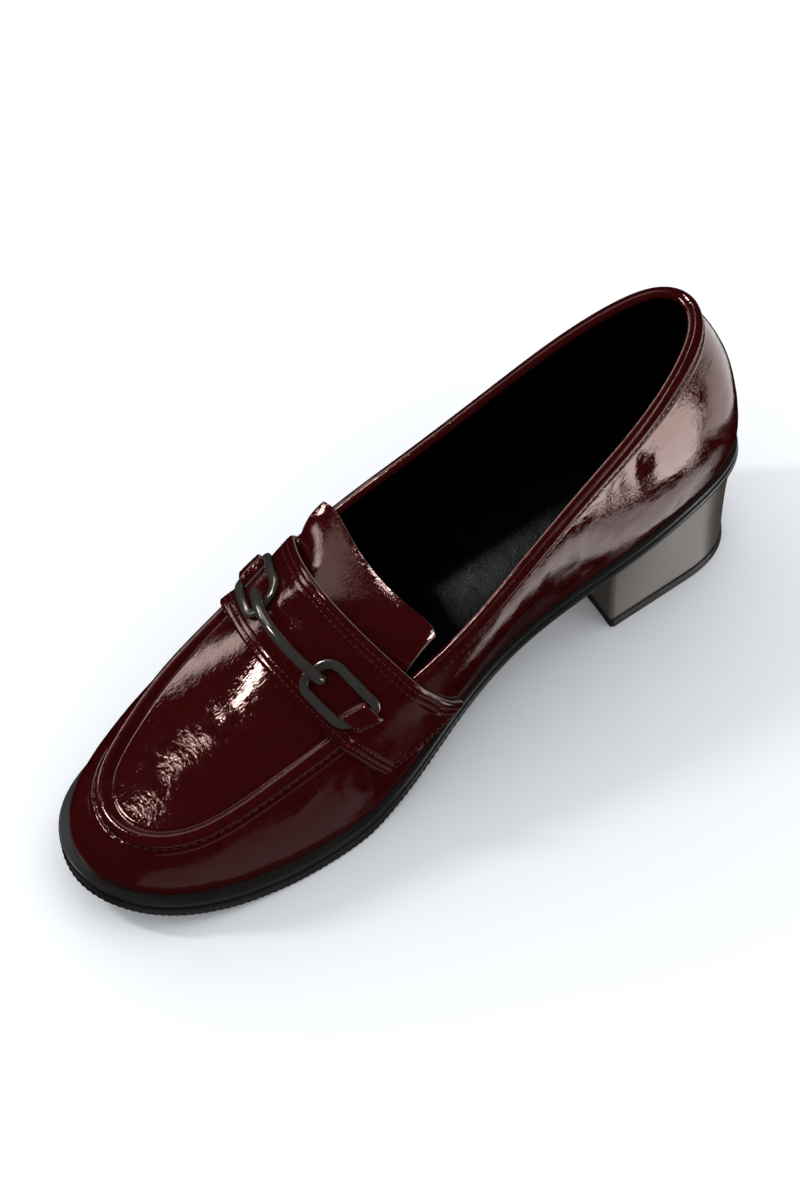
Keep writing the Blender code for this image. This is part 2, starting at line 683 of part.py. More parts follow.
def trim_low_end(line, height):
    """Line of x, z points cut off where it first rises past a height."""
    k = int(np.argmax(line[:, 1] > height))
    low, high = line[k - 1], line[k]
    return np.vstack([low + (high - low) * (height - low[1]) / (high[1] - low[1]), line[k:]])


def even_points(line, count):
    run = np.concatenate([[0], np.cumsum(np.linalg.norm(np.diff(line, axis=0), axis=1))])
    at = np.linspace(0, run[-1], count)
    return np.column_stack([np.interp(at, run, line[:, i]) for i in range(line.shape[1])])


def strap_surface(upper_points, side_rows, rows, columns):
    last = last_columns(SIDE_COLUMNS)
    points = []
    for station in np.linspace(strap_rear(), STRAP_FRONT, rows):
        line = even_points(taut_section(last, upper_points, side_rows, station), columns)
        top = float(crest(station))
        points += [(x, station - (top - z) * STRAP_LEAN - x * STRAP_SKEW, z) for x, z in line]
    return np.array(points)


class StrapFrame:
    """Places on the strap's outside: u from its crest towards the outer side, v towards the toe, h above."""

    def __init__(self, points, rows, columns, lift):
        normals = point_normals(points, grid_faces(rows, columns))
        self.grid = (points + normals * lift).reshape(rows, columns, 3)
        middle = self.grid[rows // 2]
        run = np.concatenate([[0], np.cumsum(np.linalg.norm(np.diff(middle, axis=0), axis=1))])
        self.run = run - np.interp(0.0, middle[:, 0], run)
        self.rows = rows

    def surface(self, u, v):
        column = np.interp(u, self.run, np.arange(len(self.run)))
        row = (0.5 + v / STRAP_WIDTH) * (self.rows - 1)
        i = int(np.clip(math.floor(row), 0, self.rows - 2))
        j = int(np.clip(math.floor(column), 0, len(self.run) - 2))
        a, b = row - i, column - j
        near = self.grid[i, j] * (1 - b) + self.grid[i, j + 1] * b
        far = self.grid[i + 1, j] * (1 - b) + self.grid[i + 1, j + 1] * b
        return near * (1 - a) + far * a

    def bit_place(self, u, v, h):
        """Place on the turned bit."""
        turned = complex(u, v) * complex(math.cos(BIT_TURN), -math.sin(BIT_TURN))
        return self.place(turned.real - BIT_SHIFT, turned.imag + BIT_FORWARD, h)

    def place(self, u, v, h):
        step = NORMAL_REACH
        across = self.surface(u + step, v) - self.surface(u - step, v)
        along = self.surface(u, v + step) - self.surface(u, v - step)
        normal = np.cross(across, along)
        return self.surface(u, v) + normal / np.linalg.norm(normal) * h


def section_loop(half_width, half_height, corner):
    """Rounded rectangle section of eight points, anticlockwise."""
    w, h, c = half_width, half_height, corner
    return [(w, h - c), (w - c, h), (c - w, h), (-w, h - c), (-w, c - h), (c - w, -h), (w - c, -h), (w, c - h)]


def sweep(path, side, section, closed):
    """Solid along a path: the section's first axis lies along side, its second across path and side."""
    path = np.array(path)
    side = np.array(side)
    count = len(path)
    size = len(section)
    points = []
    for i in range(count):
        ahead = path[(i + 1) % count] if closed or i < count - 1 else path[i]
        behind = path[i - 1] if closed or i > 0 else path[i]
        forward = (ahead - behind) / np.linalg.norm(ahead - behind)
        across = side[i] - forward * np.dot(side[i], forward)
        across /= np.linalg.norm(across)
        up = np.cross(forward, across)
        points += [path[i] + across * a + up * b for a, b in section]
    faces = []
    for i in range(count if closed else count - 1):
        for k in range(size):
            a = i * size + k
            b = i * size + (k + 1) % size
            c = ((i + 1) % count) * size
            faces.append((a, b, c + (k + 1) % size, c + k))
    if not closed:
        faces.append(tuple(reversed(range(size))))
        faces.append(tuple((count - 1) * size + k for k in range(size)))
    return points, faces


def divided(loop, step):
    """Closed loop whose long straight sides have points in between, so that they follow the strap."""
    points = []
    for (u, v), (next_u, next_v) in zip(loop, loop[1:] + loop[:1]):
        count = math.ceil(math.hypot(next_u - u, next_v - v) / step)
        points += [(u + (next_u - u) * k / count, v + (next_v - v) * k / count) for k in range(count)]
    return points


def link_path(frame, outward):
    """Closed loop of one link, its corners rounder towards the middle of the bit."""
    half_length = LINK_LENGTH / 2 - LINK_BAR / 2
    half_width = LINK_WIDTH / 2 - LINK_BAR / 2
    flat = []
    for corner_u, corner_v, radius, start in ((1, 1, LINK_CORNER, 0), (-1, 1, LINK_ROUND, 90),
                                              (-1, -1, LINK_ROUND, 180), (1, -1, LINK_CORNER, 270)):
        for k in range(LINK_ARC_POINTS):
            angle = math.radians(start + 90 * k / (LINK_ARC_POINTS - 1))
            flat.append((corner_u * (half_length - radius) + radius * math.cos(angle),
                         corner_v * (half_width - radius) + radius * math.sin(angle)))
    height = LINK_GAP + LINK_THICKNESS / 2
    path = []
    side = []
    for u, v in divided(flat, LINK_STEP):
        here = outward * (LINK_SPREAD + u)
        path.append(frame.bit_place(here, v, height))
        side.append(path[-1] - frame.bit_place(outward * LINK_SPREAD, 0, height))
    return path, side


def bar_path(frame):
    """Middle line of the bar: down inside each link's near end, over it, and arched between the links."""
    inner_end = LINK_SPREAD - LINK_LENGTH / 2 + LINK_BAR / 2
    clear = LINK_BAR / 2 + BIT_BAR / 2 + GAP
    low = GAP + BIT_BAR / 2 + BAR_OVER_LINK
    over = LINK_GAP + LINK_THICKNESS + GAP + BIT_BAR / 2 + BAR_OVER_LINK
    right = [(inner_end + clear * back, low + (over - low) * up) for back, up in BAR_END_TURN]
    right.append((inner_end, over))
    right += [(inner_end * t, over + BIT_ARCH * (1 - t * t)) for t in BAR_ARCH_SHARES]
    points = [(-u, h) for u, h in right] + [(0, over + BIT_ARCH)] + [(u, h) for u, h in right[::-1]]
    path = [frame.bit_place(u, 0, h) for u, h in points]
    return path, [frame.bit_place(u, MM, h) - frame.bit_place(u, 0, h) for u, h in points]


def tab_surface(frame, outward, rows, columns):
    """Underside of a keeper tab, raised over the link's crossbar."""
    middle = LINK_SPREAD + LINK_LENGTH / 2 - LINK_BAR / 2
    rise = LINK_THICKNESS + LINK_GAP
    points = []
    for u in np.linspace(-TAB_LENGTH / 2, TAB_LENGTH / 2, rows):
        over = 1 - float(fade(abs(u), LINK_BAR / 2 + TAB_SLACK, LINK_BAR / 2 + TAB_SLACK + rise))
        for v in np.linspace(TAB_WIDTH / 2, -TAB_WIDTH / 2, columns):
            points.append(frame.bit_place(outward * (middle + u), v * outward, GAP + rise * over))
    return np.array(points)


def stud_solid(upper_points, side_rows, count):
    """Low dome on the outer side of the counter."""
    half = count // 2
    grid = upper_points[:count * side_rows].reshape(count, side_rows, 3)
    outer = np.concatenate([grid[half:], grid[:1]])[::-1]

    def on_side(station, height):
        x = [np.interp(station, outer[:, k, 1], outer[:, k, 0]) for k in range(side_rows)]
        z = [np.interp(station, outer[:, k, 1], outer[:, k, 2]) for k in range(side_rows)]
        return np.array([np.interp(height, z, x), station, height])

    reach = STUD_DIAMETER / 2
    middle = on_side(STUD_STATION, STUD_HEIGHT)
    along = on_side(STUD_STATION + reach, STUD_HEIGHT) - on_side(STUD_STATION - reach, STUD_HEIGHT)
    upward = on_side(STUD_STATION, STUD_HEIGHT + reach) - on_side(STUD_STATION, STUD_HEIGHT - reach)
    along /= np.linalg.norm(along)
    normal = np.cross(along, upward)
    normal /= np.linalg.norm(normal)
    upward = np.cross(normal, along)
    rings = []
    for radius, rise in STUD_DOME:
        ring = []
        for k in range(STUD_SIDES):
            angle = 2 * math.pi * k / STUD_SIDES
            spoke = (along * math.cos(angle) + upward * math.sin(angle)) * reach * radius
            ring.append(middle + spoke + normal * (GAP + STUD_RISE * rise))
        rings.append(ring)
    points = np.vstack(rings + [[middle + normal * (GAP + STUD_RISE)]])
    faces = [tuple(reversed(range(STUD_SIDES)))]
    for r in range(len(rings) - 1):
        for k in range(STUD_SIDES):
            a = r * STUD_SIDES + k
            b = r * STUD_SIDES + (k + 1) % STUD_SIDES
            faces.append((a, b, b + STUD_SIDES, a + STUD_SIDES))
    top = (len(rings) - 1) * STUD_SIDES
    faces += [(top + k, top + (k + 1) % STUD_SIDES, len(points) - 1) for k in range(STUD_SIDES)]
    return points, faces


def build():
    clear_scene()
    leather = make_material("oxblood_patent", (0.09, 0.008, 0.012), 0.22, coat=0.8)
    lining = make_material("black_lining", (0.012, 0.011, 0.011), 0.55)
    rubber = make_material("black_rubber", (0.02, 0.018, 0.017), 0.45)
    heel_stack = make_material("dark_brown_heel", (0.035, 0.028, 0.025), 0.35)
    metal = make_material("gunmetal", (0.16, 0.14, 0.13), 0.25, metallic=1.0)

    base, faces, proud = upper_surface(SIDE_COLUMNS, SIDE_ROWS, PLUG_ROWS, EDGE_ROWS)
    side_rows = SIDE_ROWS + 1 + EDGE_ROWS
    outside = base + point_normals(base, faces) * proud[:, None]
    make_object("upper", *shell(base, faces, proud, np.full(len(base), -WALL)), leather)
    make_object("outsole", *ring_stack(outsole_rings(SOLE_COLUMNS)), rubber)
    make_object("heel_block", *ring_stack(heel_rings(), HEEL_PAIRS), heel_stack)
    make_object("heel_top_lift", *ring_stack(top_lift_rings(), HEEL_PAIRS), rubber)
    make_object("insole", *ring_stack(insole_rings(INSOLE_COLUMNS)), lining)

    tongue = tongue_surface(TONGUE_ROWS, TONGUE_COLUMNS)
    tongue_faces = grid_faces(TONGUE_ROWS, TONGUE_COLUMNS)
    half = TONGUE_THICKNESS / 2
    make_object("tongue", *shell(tongue, tongue_faces, [half], [-half]), leather)

    strap = strap_surface(outside, side_rows, STRAP_ROWS, STRAP_COLUMNS)
    strap_faces = grid_faces(STRAP_ROWS, STRAP_COLUMNS)
    make_object("strap", *shell(strap, strap_faces, [STRAP_CLEARANCE + STRAP_THICKNESS], [STRAP_CLEARANCE]), leather)

    frame = StrapFrame(strap, STRAP_ROWS, STRAP_COLUMNS, STRAP_CLEARANCE + STRAP_THICKNESS)
    link_section = section_loop(LINK_BAR / 2, LINK_THICKNESS / 2, LINK_CHAMFER)
    for outward, side_name in ((-1, "inner"), (1, "outer")):
        path, side = link_path(frame, outward)
        make_object(f"bit_link_{side_name}", *sweep(path, side, link_section, closed=True), metal)
        tab = tab_surface(frame, outward, TAB_ROWS, TAB_COLUMNS)
        tab_faces = grid_faces(TAB_ROWS, TAB_COLUMNS)
        make_object(f"keeper_tab_{side_name}", *shell(tab, tab_faces, [TAB_THICKNESS], [0.0]), leather)
    path, side = bar_path(frame)
    bar_section = section_loop(BIT_BAR / 2, BIT_BAR / 2, BIT_BAR / (2 + math.sqrt(2)))
    make_object("bit_bar", *sweep(path, side, bar_section, closed=False), metal)
    make_object("heel_stud", *stud_solid(outside, side_rows, 2 * SIDE_COLUMNS), metal)


build()
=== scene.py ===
"""Loafer pump, right shoe: its leather, sole, heel and metal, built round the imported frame.

Metres, +Z up, +Y towards the toe, +X towards the outer (lateral) side. The frame's origin is the middle of
the heel's floor face. Stations are measured along the shoe from the back of the sole.
"""

import math

import bpy
import numpy as np
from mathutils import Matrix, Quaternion, Vector


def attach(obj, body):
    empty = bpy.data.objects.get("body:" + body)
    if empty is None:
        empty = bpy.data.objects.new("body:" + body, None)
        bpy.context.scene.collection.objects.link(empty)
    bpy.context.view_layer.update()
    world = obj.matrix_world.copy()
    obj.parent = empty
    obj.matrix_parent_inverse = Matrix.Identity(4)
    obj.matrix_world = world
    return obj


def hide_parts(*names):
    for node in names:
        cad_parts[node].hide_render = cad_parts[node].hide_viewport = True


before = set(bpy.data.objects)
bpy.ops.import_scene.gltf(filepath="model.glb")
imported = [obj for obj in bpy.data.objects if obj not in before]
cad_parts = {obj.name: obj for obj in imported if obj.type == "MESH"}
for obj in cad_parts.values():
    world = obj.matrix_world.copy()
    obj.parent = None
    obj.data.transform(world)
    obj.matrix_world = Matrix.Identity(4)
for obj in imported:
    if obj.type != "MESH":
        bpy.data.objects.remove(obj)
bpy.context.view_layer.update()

MM = 0.001

# Driving sizes, as in the frame
LENGTH = 263 * MM
BALL_WIDTH = 84 * MM
HEEL_HEIGHT = 49.5 * MM
COLLAR_HEIGHT = 115 * MM
INSTEP_HEIGHT = 79 * MM
SOLE_THICKNESS = 8.5 * MM
WELT_REACH = 3.4 * MM
WALL = 2.0 * MM
GAP = 0.3 * MM

# Heel
HEEL_LENGTH = 63 * MM
HEEL_INSET = 1.6 * MM
HEEL_TAPER_SIDE = 4.5 * MM
HEEL_TAPER_BACK = 3.0 * MM
HEEL_TAPER_BREAST = 1.0 * MM
HEEL_WAIST = 0.4 * MM
HEEL_TOP_WIDTH = 57 * MM
HEEL_SHIFT = -1.5 * MM
HEEL_ROUND = 27 * MM
HEEL_SQUARE = 0.80
HEEL_CORNER = 1.5 * MM
HEEL_BREAST_HOLLOW = 1.5 * MM
TOP_LIFT = 4.0 * MM
ORIGIN_STATION = (HEEL_INSET + HEEL_TAPER_BACK + HEEL_LENGTH - HEEL_TAPER_BREAST) / 2
LIFT_SIDE = (
    # out         up
    (-0.10 * MM, TOP_LIFT),
    (0.20 * MM, TOP_LIFT - 0.3 * MM),
    (0.20 * MM, 0.50 * MM),
    (0.05 * MM, 0.15 * MM),
    (-0.25 * MM, 0.0),
)
HEEL_PAIRS = 50

# Upper
THROAT_STATION = 0.6236 * LENGTH
SPINE_END = 0.871 * LENGTH
LOW_HANDLE = 0.38
RIDGE_FADE = 12 * MM
LEATHER = 1.1 * MM
LINING_GAP = 0.05 * MM

# Insole
INSOLE_THICKNESS = 2.2 * MM
INSOLE_CLEARANCE = 0.8 * MM
INSOLE_SIDE = ((0.0, 0.0), (0.0, 0.55), (0.25 * MM, 0.85), (0.8 * MM, 1.0))

# Tongue
TONGUE_UNDER_PLUG = 9 * MM
TONGUE_LENGTH = 36 * MM
TONGUE_WIDTH = 60 * MM
TONGUE_THICKNESS = 1.8 * MM
TONGUE_SINK = 15.5 * MM
TONGUE_SIDE_GAP = 1.2 * MM
TONGUE_DIP = 7.0 * MM
TONGUE_INNER_RISE = 5.0 * MM
TONGUE_OUTER_RISE = 6.5 * MM
TONGUE_INNER_INSET = 1.5 * MM
TONGUE_OUTER_SPREAD = 1.5 * MM
TONGUE_SPREAD_FROM = 0.45
TONGUE_HOLLOW = 6 * MM
TONGUE_CORNER = 3.5 * MM
TONGUE_CURL = 0.75
TONGUE_CROWN = 2.2
TONGUE_END_CROWN = 2.8
TONGUE_FRONT = THROAT_STATION + TONGUE_UNDER_PLUG
TONGUE_BACK = TONGUE_FRONT - TONGUE_LENGTH

# Strap
STRAP_OVER_PLUG = 18 * MM
STRAP_FRONT = THROAT_STATION + STRAP_OVER_PLUG
STRAP_WIDTH = 32 * MM
STRAP_THICKNESS = 1.8 * MM
STRAP_LEAN = math.tan(math.radians(29))
STRAP_SKEW = math.tan(math.radians(2))
STRAP_END_HEIGHT = 27 * MM
STRAP_CLEARANCE = 0.7 * MM

# Snaffle bit
LINK_LENGTH = 25 * MM
LINK_WIDTH = 17 * MM
LINK_BAR = 3.2 * MM
LINK_THICKNESS = 1.8 * MM
LINK_GAP = 0.5 * MM
LINK_SPREAD = 26.5 * MM
LINK_CORNER = 3.5 * MM
LINK_ROUND = 4.5 * MM
BIT_TURN = math.radians(3)
BIT_SHIFT = 1.4 * MM
BIT_FORWARD = 2.3 * MM
BIT_BAR = 3.6 * MM
BIT_ARCH = 3.5 * MM
BAR_OVER_LINK = 0.5 * MM
BAR_END_TURN = ((1.0, 0.0), (0.92, 0.75), (0.5, 0.95))
BAR_ARCH_SHARES = (0.82, 0.62, 0.41, 0.2)
NORMAL_REACH = 1.5 * MM
TAB_LENGTH = 9 * MM
TAB_WIDTH = 9.5 * MM
TAB_THICKNESS = 1.2 * MM
TAB_SLACK = 0.6 * MM

# Stud
STUD_DIAMETER = 9 * MM
STUD_RISE = 1.6 * MM
STUD_STATION = 30 * MM
STUD_HEIGHT = 86 * MM
STUD_SIDE = (
    # radius  rise
    (0.97, -0.30),
    (1.00, 0.00),
    (1.00, 0.25),
    (0.975, 0.40),
    (0.93, 0.46),
    (0.88, 0.45),
    (0.84, 0.50),
    (0.74, 0.72),
    (0.58, 0.88),
    (0.40, 0.96),
    (0.20, 1.00),
    (0.05, 1.00),
)

# Outline and topline, from the back round the inner side to the toe and back on the outer side
LAST = (
    # along  across  welt  top_al  top_ac  top_up  low_out high_out lean
    (0.000, -0.028, 0.35, 0.036, -0.010, 0.993, 0.055, 0.140, 0.32),
    (0.022, -0.275, 0.35, 0.058, -0.152, 0.980, 0.055, 0.140, 0.32),
    (0.102, -0.370, 0.35, 0.129, -0.262, 0.924, 0.055, 0.100, 0.32),
    (0.251, -0.362, 0.35, 0.263, -0.350, 0.822, 0.050, 0.050, 0.32),
    (0.387, -0.325, 0.35, 0.399, -0.412, 0.703, 0.060, 0.060, 0.34),
    (0.496, -0.375, 0.35, 0.506, -0.440, 0.592, 0.060, 0.050, 0.36),
    (0.582, -0.450, 0.45, 0.597, -0.418, 0.495, 0.030, 0.050, 0.36),
    (0.681, -0.502, 0.70, 0.681, -0.392, 0.430, 0.015, 0.080, 0.22),
    (0.802, -0.482, 0.94, 0.786, -0.380, 0.385, 0.015, 0.070, 0.20),
    (0.893, -0.417, 0.97, 0.870, -0.345, 0.356, 0.015, 0.060, 0.18),
    (0.958, -0.300, 1.00, 0.920, -0.250, 0.340, 0.012, 0.060, 0.16),
    (1.000, -0.054, 1.00, 0.943, -0.080, 0.333, 0.012, 0.070, 0.16),
    (0.969, 0.226, 1.00, 0.920, 0.100, 0.340, 0.012, 0.070, 0.16),
    (0.901, 0.380, 0.97, 0.870, 0.200, 0.358, 0.015, 0.080, 0.18),
    (0.802, 0.474, 0.88, 0.786, 0.298, 0.392, 0.015, 0.090, 0.20),
    (0.681, 0.505, 0.65, 0.681, 0.358, 0.440, 0.015, 0.080, 0.22),
    (0.582, 0.484, 0.45, 0.597, 0.374, 0.505, 0.020, 0.060, 0.30),
    (0.496, 0.428, 0.35, 0.506, 0.362, 0.590, 0.025, 0.050, 0.32),
    (0.387, 0.380, 0.35, 0.399, 0.310, 0.695, 0.035, 0.050, 0.32),
    (0.251, 0.350, 0.35, 0.263, 0.256, 0.815, 0.050, 0.050, 0.32),
    (0.102, 0.330, 0.35, 0.129, 0.192, 0.922, 0.055, 0.080, 0.32),
    (0.022, 0.215, 0.35, 0.060, 0.106, 0.980, 0.055, 0.110, 0.32),
)
TOE_ROW = 11
SOLE_PROFILE = (
    # along  under   thick
    (0.000, 1.000, 0.70),
    (0.110, 0.930, 0.70),
    (0.229, 0.780, 0.72),
    (0.328, 0.610, 0.74),
    (0.427, 0.415, 0.78),
    (0.525, 0.215, 0.85),
    (0.605, 0.080, 0.94),
    (0.674, 0.000, 1.00),
    (0.763, 0.000, 1.00),
    (0.832, 0.030, 1.00),
    (0.901, 0.100, 1.00),
    (0.951, 0.165, 1.00),
    (1.000, 0.235, 1.00),
)
CREST = (
    # along  up
    (0.446, 1.230),
    (0.506, 1.150),
    (0.585, 1.010),
    (0.634, 0.890),
    (0.684, 0.775),
    (0.743, 0.685),
    (0.802, 0.620),
    (0.862, 0.560),
    (0.941, 0.485),
)
SOLE_SIDE = (
    # out          down
    (-0.5 * MM, 0.00),
    (0.0 * MM, 0.05),
    (0.2 * MM, 0.22),
    (-0.2 * MM, 0.36),
    (-1.1 * MM, 0.40),
    (-1.1 * MM, 0.48),
    (-0.1 * MM, 0.52),
    (0.3 * MM, 0.75),
    (0.1 * MM, 0.93),
    (-0.7 * MM, 1.00),
)

# Notches in the outsole's lower edge, round the forefoot
NOTCH_PITCH = 2.4 * MM
NOTCH_DEPTH = 0.30 * MM
NOTCH_FROM = (118 * MM, 138 * MM)
NOTCH_DOWN = (0.60, 0.72)

# Relief of the moccasin seam, across it from the plug (minus) to the side wall (plus)
SEAM_RELIEF = (
    # middle   width     height
    (-3.3 * MM, 0.9 * MM, -0.30 * MM),
    (2.95 * MM, 0.6 * MM, -0.45 * MM),
    (4.2 * MM, 1.1 * MM, 0.38 * MM),
    (5.7 * MM, 0.8 * MM, -0.12 * MM),
)
RIB_HEIGHT = 2.0 * MM
RIB_HALF = 2.7 * MM
RIB_SQUARE = 2.4
PUCKER_PITCH = 3.2 * MM
PUCKER_DEPTH = 0.10 * MM
PUCKER_PLACE = 3.0 * MM
PUCKER_REACH = 2.6 * MM
SEAM_STITCH = 2.95 * MM

# Folded band below the collar edge
BAND_WIDTH = 6.4 * MM
BAND_RISE = 0.7 * MM
BAND_EDGE = 0.9 * MM
BAND_STITCH = 5.2 * MM
BAND_STITCH_DEPTH = 0.45 * MM
BAND_STITCH_WIDTH = 0.9 * MM
BAND_ROLL = 0.7 * MM
BAND_ROLL_WIDTH = 2.2 * MM
PADDING_PLACE = 2.8 * MM
PADDING_RISE = 0.5 * MM
PADDING_WIDTH = 4.6 * MM

# Rolled edge of the collar, inside the wall's top
ROLL_HALF_WIDTH = 1.5 * MM
ROLL_HALF_HEIGHT = 1.55 * MM
ROLL_INWARD = 0.65 * MM
ROLL_DOWN = 0.75 * MM

# Stitches: pitch, length and thickness, then how far their middles stand proud, and the insets of the rows
COLLAR_STITCH = (2.6 * MM, 1.9 * MM, 0.50 * MM)
PLUG_STITCH = (PUCKER_PITCH, 2.3 * MM, 0.62 * MM)
TONGUE_STITCH = (2.4 * MM, 1.75 * MM, 0.45 * MM)
STRAP_STITCH = (2.3 * MM, 1.6 * MM, 0.42 * MM)
TAB_STITCH = (1.9 * MM, 1.4 * MM, 0.40 * MM)
COLLAR_STITCH_LIFT = 0.05 * MM
PLUG_STITCH_LIFT = 0.12 * MM
TONGUE_STITCH_LIFT = 0.05 * MM
STRAP_STITCH_LIFT = 0.04 * MM
TAB_STITCH_LIFT = 0.04 * MM
TONGUE_STITCH_INSET = 2.6 * MM
STRAP_STITCH_INSETS = (2.2 * MM, 4.4 * MM)
TAB_STITCH_INSET = 1.5 * MM

# Cut edges of the tongue, strap and tabs: their rounding, and the grooves that their stitches lie in
EDGE_ROUND = 0.9 * MM
EDGE_DROP = 0.35
EDGE_GROOVE = 0.14 * MM
EDGE_GROOVE_WIDTH = 0.9 * MM

# Soft unevenness of the leather: height, size and seed of each noise
SIDE_WAVES = ((0.22 * MM, 11 * MM, 3), (0.07 * MM, 4 * MM, 4))
PLUG_WAVES = ((0.16 * MM, 13 * MM, 5), (0.05 * MM, 4 * MM, 6))
TONGUE_WAVES = ((0.25 * MM, 14 * MM, 11),)
STRAP_WAVES = ((0.22 * MM, 12 * MM, 21), (0.05 * MM, 4 * MM, 22))
SIDE_WAVES_FROM = (8 * MM, 16 * MM)
PLUG_WAVES_FROM = (5 * MM, 14 * MM)
EDGE_CALM = 6 * MM

# Creases of the side walls
SIDE_DEPTH = 48 * MM
CREASES = (
    # side (-1 inner), station, share down the side, turn from upright, length, width, depth
    (-1, 66, 0.40, 18, 20, 5.1, 0.08),
    (-1, 73, 0.46, 26, 17, 4.5, 0.07),
    (-1, 81, 0.42, 14, 22, 5.4, 0.08),
    (-1, 90, 0.50, 24, 18, 4.8, 0.08),
    (-1, 100, 0.46, 30, 16, 5.1, 0.07),
    (-1, 112, 0.52, 20, 18, 5.7, 0.07),
    (-1, 52, 0.36, 8, 16, 4.8, 0.06),
    (1, 60, 0.42, -16, 20, 3.4, 0.28),
    (1, 72, 0.48, -24, 18, 3.2, 0.28),
    (1, 85, 0.44, -18, 22, 3.6, 0.30),
    (1, 98, 0.50, -28, 17, 3.2, 0.26),
    (1, 112, 0.46, -20, 18, 3.6, 0.24),
    (-1, 178, 0.42, 62, 24, 5.0, 0.30),
    (-1, 190, 0.50, 55, 20, 4.6, 0.26),
    (1, 180, 0.42, -60, 24, 5.0, 0.30),
    (1, 193, 0.52, -52, 20, 4.6, 0.26),
)

# Camera, aimed at the shoe's middle
SHOE_MIDDLE = (0.003, 0.093, 0.043)
CAMERA_AZIMUTH = -120.72
CAMERA_ELEVATION = 55.42
CAMERA_ROLL = -6.46
CAMERA_DISTANCE = 1.659
CAMERA_LENS = 151.2
FLOOR_REACH = 6.0

# Lamps and sky
LAMPS = (
    # name, direction, distance, size, brightness, aim
    ("key_strip", (0.49, 0.465, 0.74), 1.5, (0.10, 0.40), 46, SHOE_MIDDLE),
    ("outer_panel", (0.90, 0.27, 0.35), 1.8, (0.90, 0.38), 4.0, SHOE_MIDDLE),
    ("tongue_panel", (0.72, -0.10, 0.62), 0.5, (0.35, 0.30), 0.9, (0.008, 0.114, 0.072)),
    ("inner_panel", (-0.90, -0.46, 0.13), 1.7, (0.80, 0.50), 1.8, SHOE_MIDDLE),
    ("counter_panel", (-0.74, -0.46, -0.44), 0.5, (0.13, 0.30), 5.0, (-0.029, 0.002, 0.090)),
    ("back_panel", (-0.16, -0.87, -0.47), 0.4, (0.55, 0.25), 1.9, (-0.015, -0.025, 0.090)),
    ("heel_panel", (-0.40, -0.36, -0.84), 0.3, (0.16, 0.11), 1.2, (-0.024, 0.0, 0.030)),
    ("toe_panel", (-0.56, 0.20, -0.80), 0.4, (0.50, 0.30), 0.15, (-0.033, 0.170, 0.025)),
    ("fill", (-0.2, -0.3, 1.0), 2.2, (1.40, 1.40), 1.0, SHOE_MIDDLE),
)
UNSEEN_IN_GLOSS = ("fill",)
SEEN_IN_GLOSS_ALONE = ("outer_panel",)
SKY = (0.95, 0.975, 1.0, 1)
SKY_STRENGTH = 0.96

# Colours, linear
OXBLOOD = (0.026, 0.0019, 0.0022)
# Lighter red painted on the patent's crinkle lines and ruffles: painted sheen, not the leather's own colour
OXBLOOD_PAINTED_SHEEN = (0.050, 0.0055, 0.0062)
OXBLOOD_GLOSS = (1.0, 0.70, 0.63)
OXBLOOD_THREAD = (0.060, 0.008, 0.010)
CUT_EDGE = (0.16, 0.115, 0.105)
BLACK_LINING = (0.0022, 0.0020, 0.0024)
BLACK_SOCK = (0.0016, 0.0014, 0.0014)
BLACK_RUBBER = (0.013, 0.0115, 0.0105)
TOP_LIFT_RUBBER = (0.020, 0.016, 0.014)
# Dark brown of the lacquered heel, lightened in part as painted sheen that stands for the floor's reflection
# on its sides
HEEL_LACQUER_WITH_SHEEN = (0.100, 0.081, 0.069)
GUNMETAL = (0.22, 0.20, 0.18)
FLOOR_PAPER = ((0.83, 0.84, 0.86), (0.87, 0.88, 0.895))

# Fineness of the meshes
SIDE_COLUMNS = 260
SIDE_ROWS = 36
EDGE_STEP = 0.45 * MM
EDGE_ROWS = 19
PLUG_ROWS = 22
PLUG_EDGE_ROWS = 13


# Curves and tables

def closed_spline(knots, values, at):
    """Smooth closed curve through values at knots; knots has one more entry, the whole way round."""
    count = len(values)
    step = np.diff(knots)
    system = np.zeros((count, count))
    right = np.zeros(values.shape)
    for i in range(count):
        before = (i - 1) % count
        after = (i + 1) % count
        system[i, before] += step[before]
        system[i, i] += 2 * (step[before] + step[i])
        system[i, after] += step[i]
        rise = (values[after] - values[i]) / step[i]
        right[i] = 6 * (rise - (values[i] - values[before]) / step[before])
    bend = np.linalg.solve(system, right)
    at = np.mod(at, knots[-1])
    i = np.clip(np.searchsorted(knots, at, side="right") - 1, 0, count - 1)
    j = (i + 1) % count
    a = ((knots[i + 1] - at) / step[i])[:, None]
    b = 1 - a
    curve = ((a ** 3 - a) * bend[i] + (b ** 3 - b) * bend[j]) * step[i][:, None] ** 2 / 6
    return a * values[i] + b * values[j] + curve


def smooth_table(rows, at):
    """Columns of a table between its rows, by a curve that never overshoots them."""
    rows = np.array(rows, float)
    x = rows[:, 0]
    y = rows[:, 1:]
    h = np.diff(x)[:, None]
    slope = np.diff(y, axis=0) / h
    before, after = slope[:-1], slope[1:]
    inner = np.where(before * after > 0, 2 * before * after / (before + after + 1e-30), 0)
    tangent = np.vstack([slope[:1], inner, slope[-1:]])
    at = np.clip(np.asarray(at, float), x[0], x[-1])
    i = np.clip(np.searchsorted(x, at, side="right") - 1, 0, len(x) - 2)
    t = ((at - x[i]) / h[i, 0])[..., None]
    start = y[i] * (1 + 2 * t) * (1 - t) ** 2 + tangent[i] * h[i] * t * (1 - t) ** 2
    return start + y[i + 1] * t * t * (3 - 2 * t) + tangent[i + 1] * h[i] * t * t * (t - 1)


def fade(value, start, end):
    """0 before start, 1 after end."""
    t = np.clip((value - start) / (end - start), 0, 1)
    return t * t * (3 - 2 * t)


def bell(value, middle, width):
    return np.exp(-((value - middle) / (width / 2)) ** 2)


